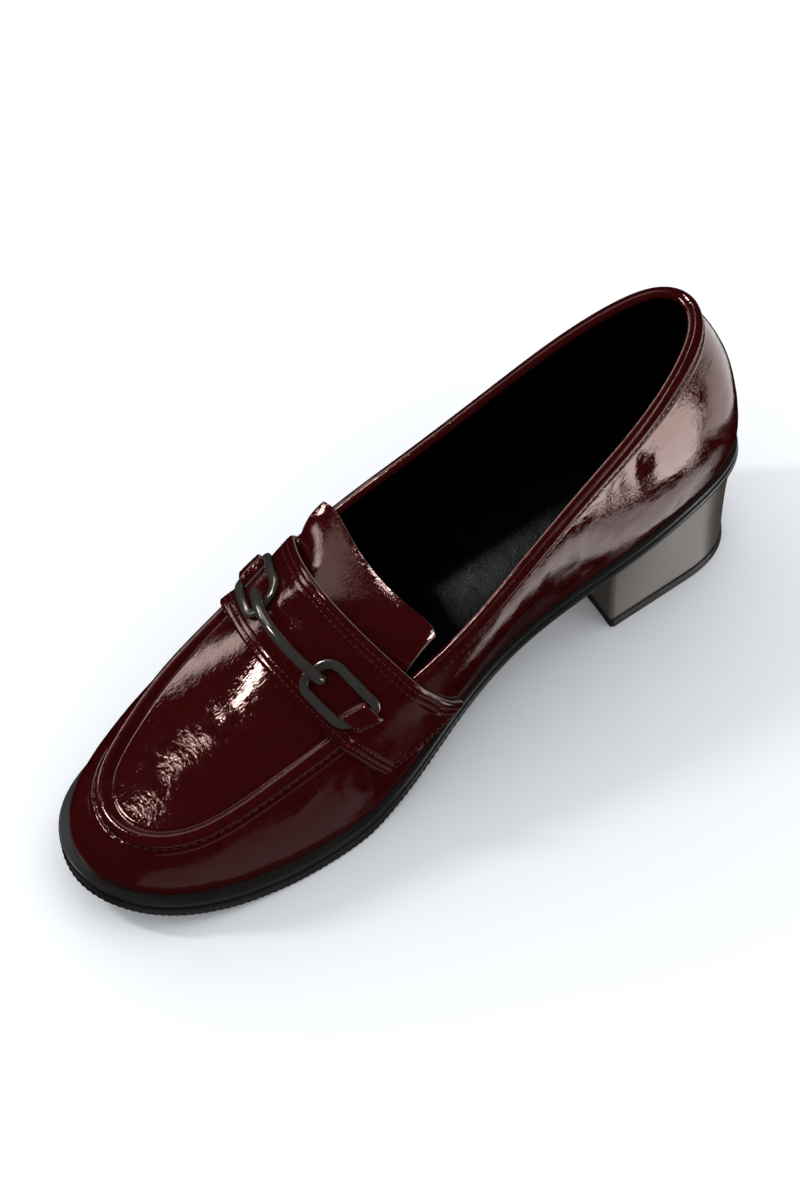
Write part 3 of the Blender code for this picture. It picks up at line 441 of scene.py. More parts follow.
def run_along(line):
    """Distance from a line's start to each of its points."""
    return np.concatenate([[0], np.cumsum(np.linalg.norm(np.diff(line, axis=0), axis=1))])


def even_points(line, count):
    run = run_along(line)
    at = np.linspace(0, run[-1], count)
    return np.column_stack([np.interp(at, run, line[:, i]) for i in range(line.shape[1])])


def soft_noise(points, size, seed):
    """Smooth noise between -1 and 1 whose bumps are about one size apart."""
    side = 32
    lattice = np.random.default_rng(seed).uniform(-1, 1, (side, side, side))
    at = points / size
    cell = np.floor(at).astype(int)
    t = at - cell
    t = t * t * (3 - 2 * t)
    total = 0
    for corner in range(8):
        pick = np.array([corner & 1, corner >> 1 & 1, corner >> 2 & 1])
        weight = np.prod(np.where(pick == 1, t, 1 - t), axis=-1)
        i, j, k = np.moveaxis((cell + pick) % side, -1, 0)
        total = total + weight * lattice[i, j, k]
    return total


def soft_relief(points, waves):
    """Sum of soft noises, each given by its height, size and seed."""
    return sum(height * soft_noise(points, size, seed) for height, size, seed in waves)


# The last

def sole_under(station):
    return smooth_table(SOLE_PROFILE, station / LENGTH)[..., 0] * HEEL_HEIGHT


def sole_thick(station):
    return smooth_table(SOLE_PROFILE, station / LENGTH)[..., 1] * SOLE_THICKNESS


def sole_top(station):
    return sole_under(station) + sole_thick(station)


def crest(station):
    return smooth_table(CREST, station / LENGTH)[..., 0] * INSTEP_HEIGHT


def last_columns(columns):
    """Columns round the shoe, as many on each side, from the back over the inner side and the toe."""
    table = np.array(LAST, float)
    scale = (LENGTH, BALL_WIDTH, WELT_REACH, LENGTH, BALL_WIDTH, COLLAR_HEIGHT, BALL_WIDTH, BALL_WIDTH, 1)
    values = table * scale
    chords = np.linalg.norm(np.roll(values[:, :2], -1, axis=0) - values[:, :2], axis=1)
    knots = np.concatenate([[0], np.cumsum(chords)])
    inner = np.linspace(0, knots[TOE_ROW], columns + 1)
    outer = np.linspace(knots[TOE_ROW], knots[-1], columns + 1)
    around = np.concatenate([inner, outer[1:-1]])
    v = closed_spline(knots, values, around)
    ahead = closed_spline(knots, values, around + 0.5 * MM)[:, :2]
    behind = closed_spline(knots, values, around - 0.5 * MM)[:, :2]
    tangent = (ahead - behind) / np.linalg.norm(ahead - behind, axis=1)[:, None]
    outward = np.stack([-tangent[:, 0], tangent[:, 1]], axis=1)
    edge = np.stack([v[:, 1], v[:, 0]], axis=1)
    feather = edge - outward * v[:, 2:3]
    feather = np.column_stack([feather, sole_top(feather[:, 1]) + GAP])
    top = np.stack([v[:, 4], v[:, 3], v[:, 5]], axis=1)
    return {"edge": edge, "outward": outward, "feather": feather, "top": top,
            "low_out": v[:, 6], "high_out": v[:, 7], "lean": v[:, 8], "around": around}


def side_points(last, shares):
    """Points up every column's rib, at shares given for each column."""
    t = shares[:, :, None]
    out = np.column_stack([last["outward"], np.zeros(len(shares))])[:, None]
    foot = last["feather"][:, None]
    top = last["top"][:, None]
    rise = np.zeros(top.shape)
    rise[..., 2] = top[..., 2] - foot[..., 2]
    low = foot + out * last["low_out"][:, None, None] + rise * LOW_HANDLE
    high = top + out * last["high_out"][:, None, None] - rise * last["lean"][:, None, None]
    return foot * (1 - t) ** 3 + 3 * low * t * (1 - t) ** 2 + 3 * high * t * t * (1 - t) + top * t ** 3


def side_grid(last, rows, edge_rows, edge_step):
    """Side wall as a grid of columns by rows, the last rows one edge step apart below the top."""
    count = len(last["top"])
    fine = np.linspace(0, 1, 161)
    curve = side_points(last, np.tile(fine, (count, 1)))
    run = np.cumsum(np.linalg.norm(np.diff(curve, axis=1), axis=2), axis=1)
    run = np.column_stack([np.zeros(count), run])
    shares = np.empty((count, rows + 1 + edge_rows))
    below = np.empty(shares.shape)
    for c in range(count):
        body = np.linspace(0, run[c, -1] - edge_rows * edge_step, rows + 1)
        edge = run[c, -1] - edge_step * np.arange(edge_rows - 1, -1, -1)
        place = np.concatenate([body, edge])
        shares[c] = np.interp(place, run[c], fine)
        below[c] = run[c, -1] - place
    return side_points(last, shares), below


def two_sides(columns):
    """Columns round the shoe as the inner and the outer side's, both from the back to the toe."""
    half = len(columns) // 2
    return columns[:half + 1], np.concatenate([columns[half:], columns[:1]])[::-1]


def topline_at(last, station):
    """Across and up of the inner and the outer topline at stations."""
    return [(np.interp(station, line[:, 1], line[:, 0]), np.interp(station, line[:, 1], line[:, 2]))
            for line in two_sides(last["top"])]


def instep_height(last, across, station):
    """Height of the crowned surface between the two sides of the topline."""
    inner, outer = topline_at(last, station)
    middle = (inner[0] + outer[0]) / 2
    side_across, side_up = np.where(across < middle, inner, outer)
    share = np.clip((across - middle) / (side_across - middle), 0, 1)
    return side_up + (crest(station) - side_up) * (1 - share ** 2)


def strap_rear():
    stations = np.arange(STRAP_FRONT, 0.4 * LENGTH, -0.5 * MM)
    run = run_along(np.column_stack([stations, crest(stations)]))
    return float(np.interp(STRAP_WIDTH, run, stations))


def strap_line_at_seam(last, station):
    """Stations where the strap's edge through a crest station meets the topline, for every column."""
    meets = []
    for side in (0, 1):
        meet = station
        for _ in range(8):
            across, up = topline_at(last, meet)[side]
            meet = station - (float(crest(station)) - float(up)) * STRAP_LEAN - float(across) * STRAP_SKEW
        meets.append(meet)
    count = len(last["top"])
    return np.where(np.arange(count) <= count // 2, meets[0], meets[1])


# Meshes

def grid_quads(rows, columns, closed=False, rings=False):
    """Quads of a grid of points; closed joins the last row to the first, rings joins each row's ends."""
    index = np.arange(rows * columns).reshape(rows, columns)
    if rings:
        index = np.column_stack([index, index[:, :1]])
    if closed:
        index = np.vstack([index, index[:1]])
    return np.stack([index[:-1, :-1], index[:-1, 1:], index[1:, 1:], index[1:, :-1]], axis=-1).reshape(-1, 4)


def point_normals(points, quads):
    """Unit normal at every point, from the faces round it."""
    corner = points[quads]
    direction = np.cross(corner[:, 2] - corner[:, 0], corner[:, 3] - corner[:, 1])
    normals = np.zeros(points.shape)
    for k in range(4):
        np.add.at(normals, quads[:, k], direction)
    return normals / np.maximum(np.linalg.norm(normals, axis=1), 1e-12)[:, None]


def border_edges(quads):
    """Directed edges that only one face has."""
    edges = np.concatenate([np.stack([quads[:, k], quads[:, (k + 1) % 4]], axis=1) for k in range(4)])
    edges = edges[edges[:, 0] != edges[:, 1]]
    size = edges.max() + 1
    return edges[~np.isin(edges[:, 1] * size + edges[:, 0], edges[:, 0] * size + edges[:, 1])]


def shell(points, quads, outside, inside):
    """Closed wall between two offsets of an open surface, and the number of its border faces, its last."""
    normals = point_normals(points, quads)
    count = len(points)
    outer = points + normals * np.reshape(outside, (-1, 1))
    inner = points + normals * np.reshape(inside, (-1, 1))
    border = border_edges(quads)
    walls = np.stack([border[:, 1], border[:, 0], border[:, 0] + count, border[:, 1] + count], axis=1)
    return np.vstack([outer, inner]), np.vstack([quads, quads[:, ::-1] + count, walls]), len(walls)


def add_object(name, data):
    made = bpy.data.objects.new(name, data)
    bpy.context.scene.collection.objects.link(made)
    return made


def make_piece(name, points, faces, materials, slot, replaces=(), border=0, smooth_angle=50):
    """Piece at the origin, riding on the one body; the border faces, its last, take the second material."""
    mesh = bpy.data.meshes.new(name)
    placed = np.asarray(points) - np.array([0, ORIGIN_STATION, 0])
    mesh.from_pydata(placed.tolist(), [], [list(dict.fromkeys(map(int, face))) for face in faces])
    for material in materials:
        mesh.materials.append(material)
    if border:
        index = np.zeros(len(mesh.polygons), np.int32)
        index[-border:] = 1
        mesh.polygons.foreach_set("material_index", index)
    mesh.validate()
    mesh.shade_smooth()
    mesh.set_sharp_from_angle(angle=math.radians(smooth_angle))
    return declare(add_object(name, mesh), replaces)


def declare(piece, replaces=()):
    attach(piece, "root")
    if replaces:
        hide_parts(*replaces)
    return piece


def ring_stack(rings, pairs=None):
    """Closed solid from loops of equal count, highest first, mirrored; pairs is where a hollow end starts."""
    count = len(rings[0])
    half = count // 2
    pairs = pairs or half
    faces = list(grid_quads(len(rings), count, rings=True))
    caps = [(i, i + 1, (count - i - 1) % count, (count - i) % count) for i in range(pairs)]
    if pairs < half:
        caps[-1] = (pairs - 1, pairs, half, count - pairs, count - pairs + 1)
        caps += [tuple(range(pairs, half + 1)), tuple(range(half, count - pairs + 1))]
    for cap in caps:
        cap = list(dict.fromkeys(cap))
        faces.append(tuple(reversed(cap)))
        faces.append(tuple((len(rings) - 1) * count + i for i in cap))
    return np.vstack(rings), faces


def end_caps(rings, size):
    """Faces that close the first and the last of a stack of rings."""
    return [range(size)[::-1], range((rings - 1) * size, rings * size)]


def sweep(path, side, section, closed):
    """Solid along a path: the section's first axis lies along side, its second across path and side."""
    path = np.array(path)
    side = np.array(side)
    section = np.array(section)
    count = len(path)
    forward = np.roll(path, -1, axis=0) - np.roll(path, 1, axis=0)
    if not closed:
        forward[0] = path[1] - path[0]
        forward[-1] = path[-1] - path[-2]
    forward /= np.linalg.norm(forward, axis=1)[:, None]
    across = side - forward * np.sum(side * forward, axis=1)[:, None]
    across /= np.linalg.norm(across, axis=1)[:, None]
    up = np.cross(forward, across)
    rings = path[:, None] + across[:, None] * section[None, :, :1] + up[:, None] * section[None, :, 1:]
    faces = list(grid_quads(count, len(section), closed, rings=True))
    return rings.reshape(-1, 3), faces if closed else faces + end_caps(count, len(section))


def round_section(half_width, half_height, power, count):
    """Section between an ellipse (power 2) and a rectangle, anticlockwise."""
    angle = np.linspace(0, 2 * math.pi, count, endpoint=False)
    c, s = np.cos(angle), np.sin(angle)
    return np.column_stack([half_width * np.sign(c) * np.abs(c) ** (2 / power),
                            half_height * np.sign(s) * np.abs(s) ** (2 / power)])


class Grid:
    """A surface of rows by columns that can be read between its points."""

    def __init__(self, points):
        self.points = points

    def at(self, row, column):
        rows, columns = self.points.shape[:2]
        i = np.clip(np.floor(row).astype(int), 0, rows - 2)
        j = np.clip(np.floor(column).astype(int), 0, columns - 2)
        a = (row - i)[:, None]
        b = (column - j)[:, None]
        near = self.points[i, j] * (1 - b) + self.points[i, j + 1] * b
        far = self.points[i + 1, j] * (1 - b) + self.points[i + 1, j + 1] * b
        return near * (1 - a) + far * a


# Shaders

class Value:
    """A shader socket that can stand in an expression."""

    def __init__(self, shader, socket):
        self.shader = shader
        self.socket = socket

    def maths(self, operation, a, b=0.0, clamp=False):
        return self.shader.node("Math", {"operation": operation, "use_clamp": clamp}, {0: a, 1: b})

    def __add__(self, other):
        return self.maths("ADD", self, other)

    def __radd__(self, other):
        return self.maths("ADD", other, self)

    def __sub__(self, other):
        return self.maths("SUBTRACT", self, other)

    def __mul__(self, other):
        return self.maths("MULTIPLY", self, other)

    def __abs__(self):
        return self.maths("ABSOLUTE", self)

    def clamped(self):
        return self.maths("ADD", self, 0.0, clamp=True)


class Shader:
    """One material's nodes."""

    def __init__(self, name):
        self.material = bpy.data.materials.new(name)
        self.material.use_nodes = True
        self.tree = self.material.node_tree
        self.tree.nodes.clear()
        self.place = self.node("TexCoord", out="Object")

    def node(self, kind, settings=None, values=None, out=0):
        """Adds a node, sets it up, fills its sockets with numbers, colours or links, and gives one output."""
        node = self.tree.nodes.new("ShaderNode" + kind)
        for key, setting in (settings or {}).items():
            setattr(node, key, setting)
        for key, value in (values or {}).items():
            if isinstance(value, Value):
                self.tree.links.new(value.socket, node.inputs[key])
            else:
                node.inputs[key].default_value = value
        return None if out is None else Value(self, node.outputs[out])

    def noise(self, size, detail=3.0, rough=0.55, distortion=0.0, place=None):
        """Noise whose bumps are about one size apart."""
        return self.node("TexNoise", {}, {"Vector": place or self.place, "Scale": 1 / size, "Detail": detail,
                                          "Roughness": rough, "Distortion": distortion})

    def stretched(self, turn, stretch):
        """Object coordinates turned and then shortened along each axis, which lengthens a pattern there."""
        return self.node("Mapping", {"vector_type": "POINT"},
                         {"Vector": self.place, "Rotation": turn, "Scale": stretch})

    def band(self, value, low, high):
        """0 below low and 1 above high."""
        return self.node("MapRange", {"clamp": True, "interpolation_type": "SMOOTHSTEP"},
                         {"Value": value, "From Min": low, "From Max": high})

    def mix(self, factor, a, b):
        return self.node("Mix", {"data_type": "RGBA"}, {0: factor, 6: (*a, 1) if isinstance(a, tuple) else a,
                                                        7: (*b, 1) if isinstance(b, tuple) else b}, out=2)

    def varied(self, factor, colour, dark, light):
        """A colour between a darker and a lighter share of itself."""
        return self.mix(factor, tuple(c * dark for c in colour), tuple(c * light for c in colour))

    def bump(self, height, distance):
        return self.node("Bump", {}, {"Height": height, "Distance": distance, "Strength": 1.0}, out="Normal")

    def finish(self, **sockets):
        """Principled surface; underscores in names stand for spaces."""
        values = {}
        for key, value in sockets.items():
            values[key.replace("_", " ")] = (*value, 1) if isinstance(value, tuple) else value
        surface = self.node("BsdfPrincipled", {}, values, out="BSDF")
        self.node("OutputMaterial", {}, {"Surface": surface}, out=None)
        return self.material


# Materials

def crinkled_patent(name, colour, painted_sheen):
    """Patent leather: dark colour under a hard gloss that is crinkled in fine wavy hairlines, with a lighter
    red painted along the crinkles as sheen.
    """
    shader = Shader(name)
    hair = shader.noise(1.0 * MM, 2.0, 0.5, 0.9, shader.stretched((0.5, 0.3, 0.9), (1.0, 0.30, 1.0)))
    cross = shader.noise(1.5 * MM, 2.0, 0.55, 1.4, shader.stretched((0.2, 0.4, -0.7), (0.5, 1.0, 1.0)))
    swell = shader.noise(6 * MM, 2.0, 0.5, 0.6)
    where = shader.band(shader.noise(17 * MM, 2.0), 0.42, 0.66)
    ruffle = abs(cross - 0.5) * where
    height = hair * 0.045 + ruffle * 0.12 + swell * 0.04
    cloud = shader.noise(9 * MM, 3.0, 0.6)
    tone = shader.varied(cloud, colour, 0.8, 1.2)
    # Crinkle lines and ruffled patches are mixed towards the lighter red: painted sheen where the crinkles
    # would catch light
    tone = shader.mix(((hair - 0.5) * 1.2 + ruffle).clamped(), tone, painted_sheen)
    return shader.finish(Base_Color=tone, Roughness=0.055 + ruffle * 0.15, IOR=1.68,
                         Specular_Tint=OXBLOOD_GLOSS, Normal=shader.bump(height, MM))


def smooth_leather(name, colour, roughness, grain):
    shader = Shader(name)
    pores = shader.noise(0.7 * MM, 2.0, 0.6, 0.5)
    folds = shader.noise(7 * MM, 2.0)
    return shader.finish(Base_Color=shader.varied(folds, colour, 0.8, 1.25),
                         Roughness=roughness + (pores - 0.5) * 0.25, Specular_IOR_Level=0.25,
                         Normal=shader.bump(pores + folds * 2.0, grain))


def moulded_rubber(name, colour, roughness):
    shader = Shader(name)
    grain = shader.noise(0.5 * MM, 2.0, 0.6)
    cloud = shader.noise(12 * MM, 3.0)
    return shader.finish(Base_Color=shader.varied(cloud, colour, 0.75, 1.3),
                         Roughness=roughness + (cloud - 0.5) * 0.15, Normal=shader.bump(grain, 0.03 * MM))


def lacquered_heel(name, colour):
    shader = Shader(name)
    layers = shader.noise(2.2 * MM, 2.0, 0.5, 0.2, shader.stretched((0, 0, 0), (0.05, 0.05, 1.0)))
    cloud = shader.noise(14 * MM, 3.0)
    return shader.finish(Base_Color=shader.varied(layers * 0.5 + cloud * 0.5, colour, 0.75, 1.35),
                         Roughness=0.30 + (cloud - 0.5) * 0.1, Coat_Weight=0.35, Coat_Roughness=0.25,
                         Normal=shader.bump(shader.noise(0.6 * MM), 0.012 * MM))


def dark_metal(name, colour):
    shader = Shader(name)
    smear = shader.noise(5 * MM, 3.0)
    brushed = shader.noise(0.25 * MM, 2.0, 0.5, 0.0, shader.stretched((0, 0, 0), (0.2, 1.0, 1.0)))
    return shader.finish(Base_Color=shader.varied(smear, colour, 0.85, 1.15), Metallic=0.88,
                         Roughness=0.12 + smear * 0.08, Normal=shader.bump(brushed, 0.006 * MM))


def thread(name, colour):
    shader = Shader(name)
    twist = shader.noise(0.3 * MM, 2.0)
    return shader.finish(Base_Color=shader.varied(twist, colour, 0.7, 1.4), Roughness=0.5,
                         Normal=shader.bump(twist, 0.05 * MM))


def cut_edge(name, colour):
    shader = Shader(name)
    fibre = shader.noise(0.6 * MM, 3.0, 0.7)
    return shader.finish(Base_Color=shader.varied(fibre, colour, 0.55, 1.3), Roughness=0.75,
                         Normal=shader.bump(fibre, 0.06 * MM))


# Upper

def seam_relief(across):
    """Height of the moccasin seam at a distance from it, minus on the plug's side."""
    rib = RIB_HEIGHT * np.clip(1 - np.abs(across / RIB_HALF) ** RIB_SQUARE, 0, 1) ** 0.8
    for middle, width, height in SEAM_RELIEF:
        rib = rib + height * bell(across, middle, width)
    return rib


def pucker(run, across):
    """Small gathers where the seam's stitches pull."""
    pull = np.cos(2 * math.pi * run / PUCKER_PITCH)
    return PUCKER_DEPTH * pull * bell(across, PUCKER_PLACE, PUCKER_REACH)


def band_relief(below):
    """Folded band under the collar edge, with its crest, its stitched groove and its soft padding."""
    step = BAND_RISE * (1 - fade(below, BAND_WIDTH - BAND_EDGE / 2, BAND_WIDTH + BAND_EDGE / 2))
    groove = -BAND_STITCH_DEPTH * bell(below, BAND_STITCH, BAND_STITCH_WIDTH)
    roll = BAND_ROLL * bell(below, BAND_WIDTH * 0.4, BAND_ROLL_WIDTH)
    padding = PADDING_RISE * bell(below, PADDING_PLACE, PADDING_WIDTH)
    return step + groove + roll + padding


def crease_relief(points, side, down):
    """Soft troughs with a low ridge beside each, on the two sides."""
    total = np.zeros(points.shape[:-1])
    for which, station, share, turn, length, width, depth in CREASES:
        angle = math.radians(turn)
        at = station * MM
        rise = (share - down) * SIDE_DEPTH
        along = (points[..., 1] - at) * math.cos(angle) + rise * math.sin(angle)
        up = -(points[..., 1] - at) * math.sin(angle) + rise * math.cos(angle)
        reach = bell(up, 0, length * MM)
        trough = bell(along, 0, width * MM) - 0.7 * bell(along, width * MM, width * MM)
        total -= depth * MM * trough * reach * (side == which)
    return total


def upper_parts():
    """Leather and lining shells, and the places on the leather that the roll and the stitches follow."""
    last = last_columns(SIDE_COLUMNS)
    count = 2 * SIDE_COLUMNS
    side, below = side_grid(last, SIDE_ROWS, EDGE_ROWS, EDGE_STEP)
    rows = side.shape[1]
    top_station = last["top"][:, 1]
    ridge_start = strap_line_at_seam(last, STRAP_FRONT)
    binding_end = strap_line_at_seam(last, strap_rear())
    ridge_share = fade(top_station, ridge_start - RIDGE_FADE, ridge_start)
    bind_share = 1 - fade(top_station, binding_end, binding_end + RIDGE_FADE)
    run = run_along(last["top"])
    which = np.where(np.arange(count) <= SIDE_COLUMNS, -1, 1)[:, None]
    down = np.linspace(1, 0, rows)[None, :] * np.ones((count, 1))

    relief = (seam_relief(below) + pucker(run[:, None], below)) * ridge_share[:, None]
    relief += band_relief(below) * bind_share[:, None]
    relief += crease_relief(side, which, down)
    soft = fade(below, *SIDE_WAVES_FROM) * fade(side[..., 2] - last["feather"][:, None, 2], 0, EDGE_CALM)
    relief += soft * soft_relief(side, SIDE_WAVES)

    first = int(np.argmax(last["top"][:SIDE_COLUMNS + 1, 1] > THROAT_STATION))
    columns = np.arange(first, count - first + 1)
    half = SIDE_COLUMNS
    seam = last["top"][columns]
    mirrored = last["top"][count - columns]
    middle_seam = (seam + mirrored) / 2
    start = middle_seam[0, 1]
    share = (middle_seam[:, 1] - start) / (last["top"][half, 1] - start)
    along = start + (SPINE_END - start) * share
    inner, outer = topline_at(last, along)
    spine = np.column_stack([(inner[0] + outer[0]) / 2, along, crest(along)])
    reach = np.linalg.norm((spine - seam)[:, :2], axis=1)[:, None]
    steps = np.arange(1, PLUG_EDGE_ROWS + 1)[None, :]
    edge = np.minimum(EDGE_STEP * steps, reach * 0.5 * steps / PLUG_EDGE_ROWS)
    body = edge[:, -1:] + (reach - edge[:, -1:]) * (np.arange(1, PLUG_ROWS + 1) / PLUG_ROWS)[None, :]
    shares = np.concatenate([edge, body], axis=1) / reach
    plug = seam[:, None] + (spine - seam)[:, None] * shares[..., None]
    plug[..., 2] = instep_height(last, plug[..., 0], plug[..., 1])
    inward = np.concatenate([seam[:, None], plug], axis=1)
    inward = np.cumsum(np.linalg.norm(np.diff(inward, axis=1), axis=2), axis=1)
    plug_relief = seam_relief(-inward) * ridge_share[columns][:, None]
    plug_relief += fade(inward, *PLUG_WAVES_FROM) * soft_relief(plug, PLUG_WAVES)

    plug_rows = plug.shape[1]
    index = count * rows + np.arange(len(columns) * plug_rows).reshape(len(columns), plug_rows)
    index = np.column_stack([columns % count * rows + rows - 1, index])
    past = columns > half
    index[past, -1] = index[2 * half - columns[past] - first, -1]
    points = np.vstack([side.reshape(-1, 3), plug.reshape(-1, 3)])
    outside = np.concatenate([relief.ravel(), plug_relief.ravel()])
    plug_quads = np.stack([index[1:, :-1], index[:-1, :-1], index[:-1, 1:], index[1:, 1:]], axis=-1)
    quads = np.vstack([grid_quads(count, rows, closed=True), plug_quads.reshape(-1, 4)])
    quads = quads[[len(set(quad)) > 2 for quad in quads.tolist()]]
    used = np.unique(quads)
    renumber = np.zeros(len(points), int)
    renumber[used] = np.arange(len(used))
    normals = point_normals(points, quads)
    surface = Grid((points + normals * outside[:, None])[:count * rows].reshape(count, rows, 3))
    return {"last": last, "points": points[used], "quads": renumber[quads], "outside": outside[used],
            "surface": surface, "normals": normals[:count * rows].reshape(count, rows, 3), "rows": rows,
            "throat": first, "bind_share": bind_share, "ridge_share": ridge_share}


def collar_roll(upper, materials):
    """Rolled edge of the collar from under the strap on one side round the back to the other."""
    count = 2 * SIDE_COLUMNS
    reach = int(np.argmax(upper["bind_share"][:SIDE_COLUMNS] < 0.02))
    columns = np.arange(-reach, reach + 1) % count
    base = upper["last"]["top"][columns]
    normal = upper["normals"][columns, -1]
    path = base - normal * ROLL_INWARD - np.array([0, 0, ROLL_DOWN])
    section = round_section(ROLL_HALF_WIDTH, ROLL_HALF_HEIGHT, 2.3, 14)
    points, faces = sweep(path, normal, section, closed=False)
    return make_piece("collar_roll", points, faces, materials[:1], "oxblood_patent", smooth_angle=80)


def build_upper(patent, lining):
    upper = upper_parts()
    surface = upper["points"], upper["quads"]
    leather = shell(*surface, upper["outside"], [-LEATHER])[:2]
    make_piece("upper_leather", *leather, [patent], "oxblood_patent", ["upper"], smooth_angle=70)
    inside = shell(*surface, [-LEATHER - LINING_GAP], [-WALL])[:2]
    make_piece("upper_lining", *inside, [lining], "black_lining", smooth_angle=70)
    collar_roll(upper, [patent])
    return upper


# Stitches

def stitch_tree():
    """Geometry Nodes: a stitch at every pitch along each line of the input, lying along it."""
    tree = bpy.data.node_groups.new("stitches", "GeometryNodeTree")
    face = tree.interface
    face.new_socket("Geometry", in_out="INPUT", socket_type="NodeSocketGeometry")
    for name in ("Pitch", "Length", "Thickness"):
        face.new_socket(name, in_out="INPUT", socket_type="NodeSocketFloat")
    face.new_socket("Material", in_out="INPUT", socket_type="NodeSocketMaterial")
    face.new_socket("Geometry", in_out="OUTPUT", socket_type="NodeSocketGeometry")

    def node(kind, settings=None, links=None):
        made = tree.nodes.new(kind)
        for key, setting in (settings or {}).items():
            setattr(made, key, setting)
        for key, value in (links or {}).items():
            if isinstance(value, bpy.types.NodeSocket):
                tree.links.new(value, made.inputs[key])
            else:
                made.inputs[key].default_value = value
        return made

    given = node("NodeGroupInput")
    line = node("GeometryNodeMeshToCurve", {}, {"Mesh": given.outputs["Geometry"]})
    even = node("GeometryNodeResampleCurve", {"mode": "LENGTH"}, {"Curve": line.outputs[0],
                                                                 "Length": given.outputs["Pitch"]})
    bead = node("GeometryNodeMeshUVSphere", {}, {"Segments": 8, "Rings": 6, "Radius": 0.5})
    size = node("ShaderNodeCombineXYZ", {}, {0: given.outputs["Thickness"], 1: given.outputs["Thickness"],
                                             2: given.outputs["Length"]})
    shaped = node("GeometryNodeTransform", {}, {"Geometry": bead.outputs["Mesh"], "Scale": size.outputs[0]})
    tangent = node("GeometryNodeInputTangent")
    turn = node("FunctionNodeAlignRotationToVector", {"axis": "Z"}, {"Vector": tangent.outputs[0]})
    laid = node("GeometryNodeInstanceOnPoints", {}, {"Points": even.outputs[0], "Instance": shaped.outputs[0],
                                                     "Rotation": turn.outputs[0]})
    real = node("GeometryNodeRealizeInstances", {}, {"Geometry": laid.outputs[0]})
    smooth = node("GeometryNodeSetShadeSmooth", {}, {"Geometry": real.outputs[0]})
    coloured = node("GeometryNodeSetMaterial", {}, {"Geometry": smooth.outputs[0],
                                                    "Material": given.outputs["Material"]})
    node("NodeGroupOutput", {}, {"Geometry": coloured.outputs[0]})
    return tree


def sew(name, lines, tree, material, stitch):
    """Stitches along lines of points, as one plain mesh; stitch is their pitch, length and thickness."""
    mesh = bpy.data.meshes.new(name + "_lines")
    points = np.vstack(lines) - np.array([0, ORIGIN_STATION, 0])
    edges = []
    start = 0
    for line in lines:
        edges += [(start + i, start + i + 1) for i in range(len(line) - 1)]
        start += len(line)
    mesh.from_pydata(points.tolist(), edges, [])
    guide = add_object(name + "_guide", mesh)
    modifier = guide.modifiers.new("stitches", "NODES")
    modifier.node_group = tree
    given = {item.name: item.identifier for item in tree.interface.items_tree if item.in_out == "INPUT"}
    for socket, value in zip(("Pitch", "Length", "Thickness", "Material"), (*stitch, material)):
        modifier[given[socket]] = value
    depsgraph = bpy.context.evaluated_depsgraph_get()
    made = bpy.data.meshes.new_from_object(guide.evaluated_get(depsgraph))
    made.name = name
    bpy.data.objects.remove(guide, do_unlink=True)
    return declare(add_object(name, made))


def surface_line(upper, columns, below, lift):
    """Line on the leather a distance below the top of the side wall."""
    rows = upper["rows"]
    row = np.full(len(columns), rows - 1 - below / EDGE_STEP)
    count = upper["surface"].points.shape[0]
    wrapped = Grid(np.concatenate([upper["surface"].points, upper["surface"].points[:1]]))
    normal = Grid(np.concatenate([upper["normals"], upper["normals"][:1]]))
    at = np.mod(columns, count).astype(float)
    return wrapped.at(at, row) + normal.at(at, row) * lift


def sew_upper(upper, tree, patent_thread):
    reach = int(np.argmax(upper["bind_share"][:SIDE_COLUMNS] < 0.3))
    collar = surface_line(upper, np.arange(-reach, reach + 1), BAND_STITCH, COLLAR_STITCH_LIFT)
    sew("collar_stitches", [collar], tree, patent_thread, COLLAR_STITCH)
    start = int(np.argmax(upper["ridge_share"] > 0.6))
    around = np.arange(start, 2 * SIDE_COLUMNS - start)
    seam = surface_line(upper, around, SEAM_STITCH, PLUG_STITCH_LIFT)
    sew("seam_stitches", [seam], tree, patent_thread, PLUG_STITCH)


# Tongue

def tongue_grid(rows, columns):
    """Middle surface of the tongue, from under the plug back and up to its free end."""
    last = last_columns(SIDE_COLUMNS)
    v, u = np.meshgrid(np.linspace(0, 1, rows), np.linspace(-1, 1, columns), indexing="ij")
    station = TONGUE_FRONT + (TONGUE_BACK - TONGUE_FRONT) * v
    free = fade(-station, -THROAT_STATION, -TONGUE_BACK)
    curl = fade(-station, -TONGUE_BACK - TONGUE_CURL * TONGUE_LENGTH, -TONGUE_BACK)
    inner, outer = topline_at(last, station)
    middle = (inner[0] + outer[0]) / 2
    side_across = np.where(u < 0, inner[0], outer[0])
    side_up = np.where(u < 0, inner[1], outer[1])
    spread = fade(curl, TONGUE_SPREAD_FROM, 1) * (WALL + TONGUE_SIDE_GAP + TONGUE_OUTER_SPREAD)
    inset = WALL + TONGUE_SIDE_GAP + np.where(u < 0, TONGUE_INNER_INSET * curl, -spread)
    reach = np.abs(side_across - middle) - inset
    slope = (crest(station - MM) - crest(station + MM)) / (2 * MM)
    sunk = -(WALL + 2 * GAP + TONGUE_THICKNESS / 2) * np.hypot(1, slope)
    centre = crest(station) + sunk + (-TONGUE_SINK - sunk) * free
    rise = np.where(u < 0, TONGUE_INNER_RISE, TONGUE_OUTER_RISE)
    edge = side_up - TONGUE_DIP + (TONGUE_DIP + rise) * curl
    crown = TONGUE_CROWN + (TONGUE_END_CROWN - TONGUE_CROWN) * curl
    height = edge + (centre - edge) * (1 - np.abs(u) ** crown)
    across = middle + reach * u
    turn = TONGUE_CORNER * np.abs(u) ** 9 - TONGUE_HOLLOW * u ** 2
    along = station + turn * v ** 2 - across * STRAP_SKEW * v
    return np.stack([across, along, height], axis=-1)


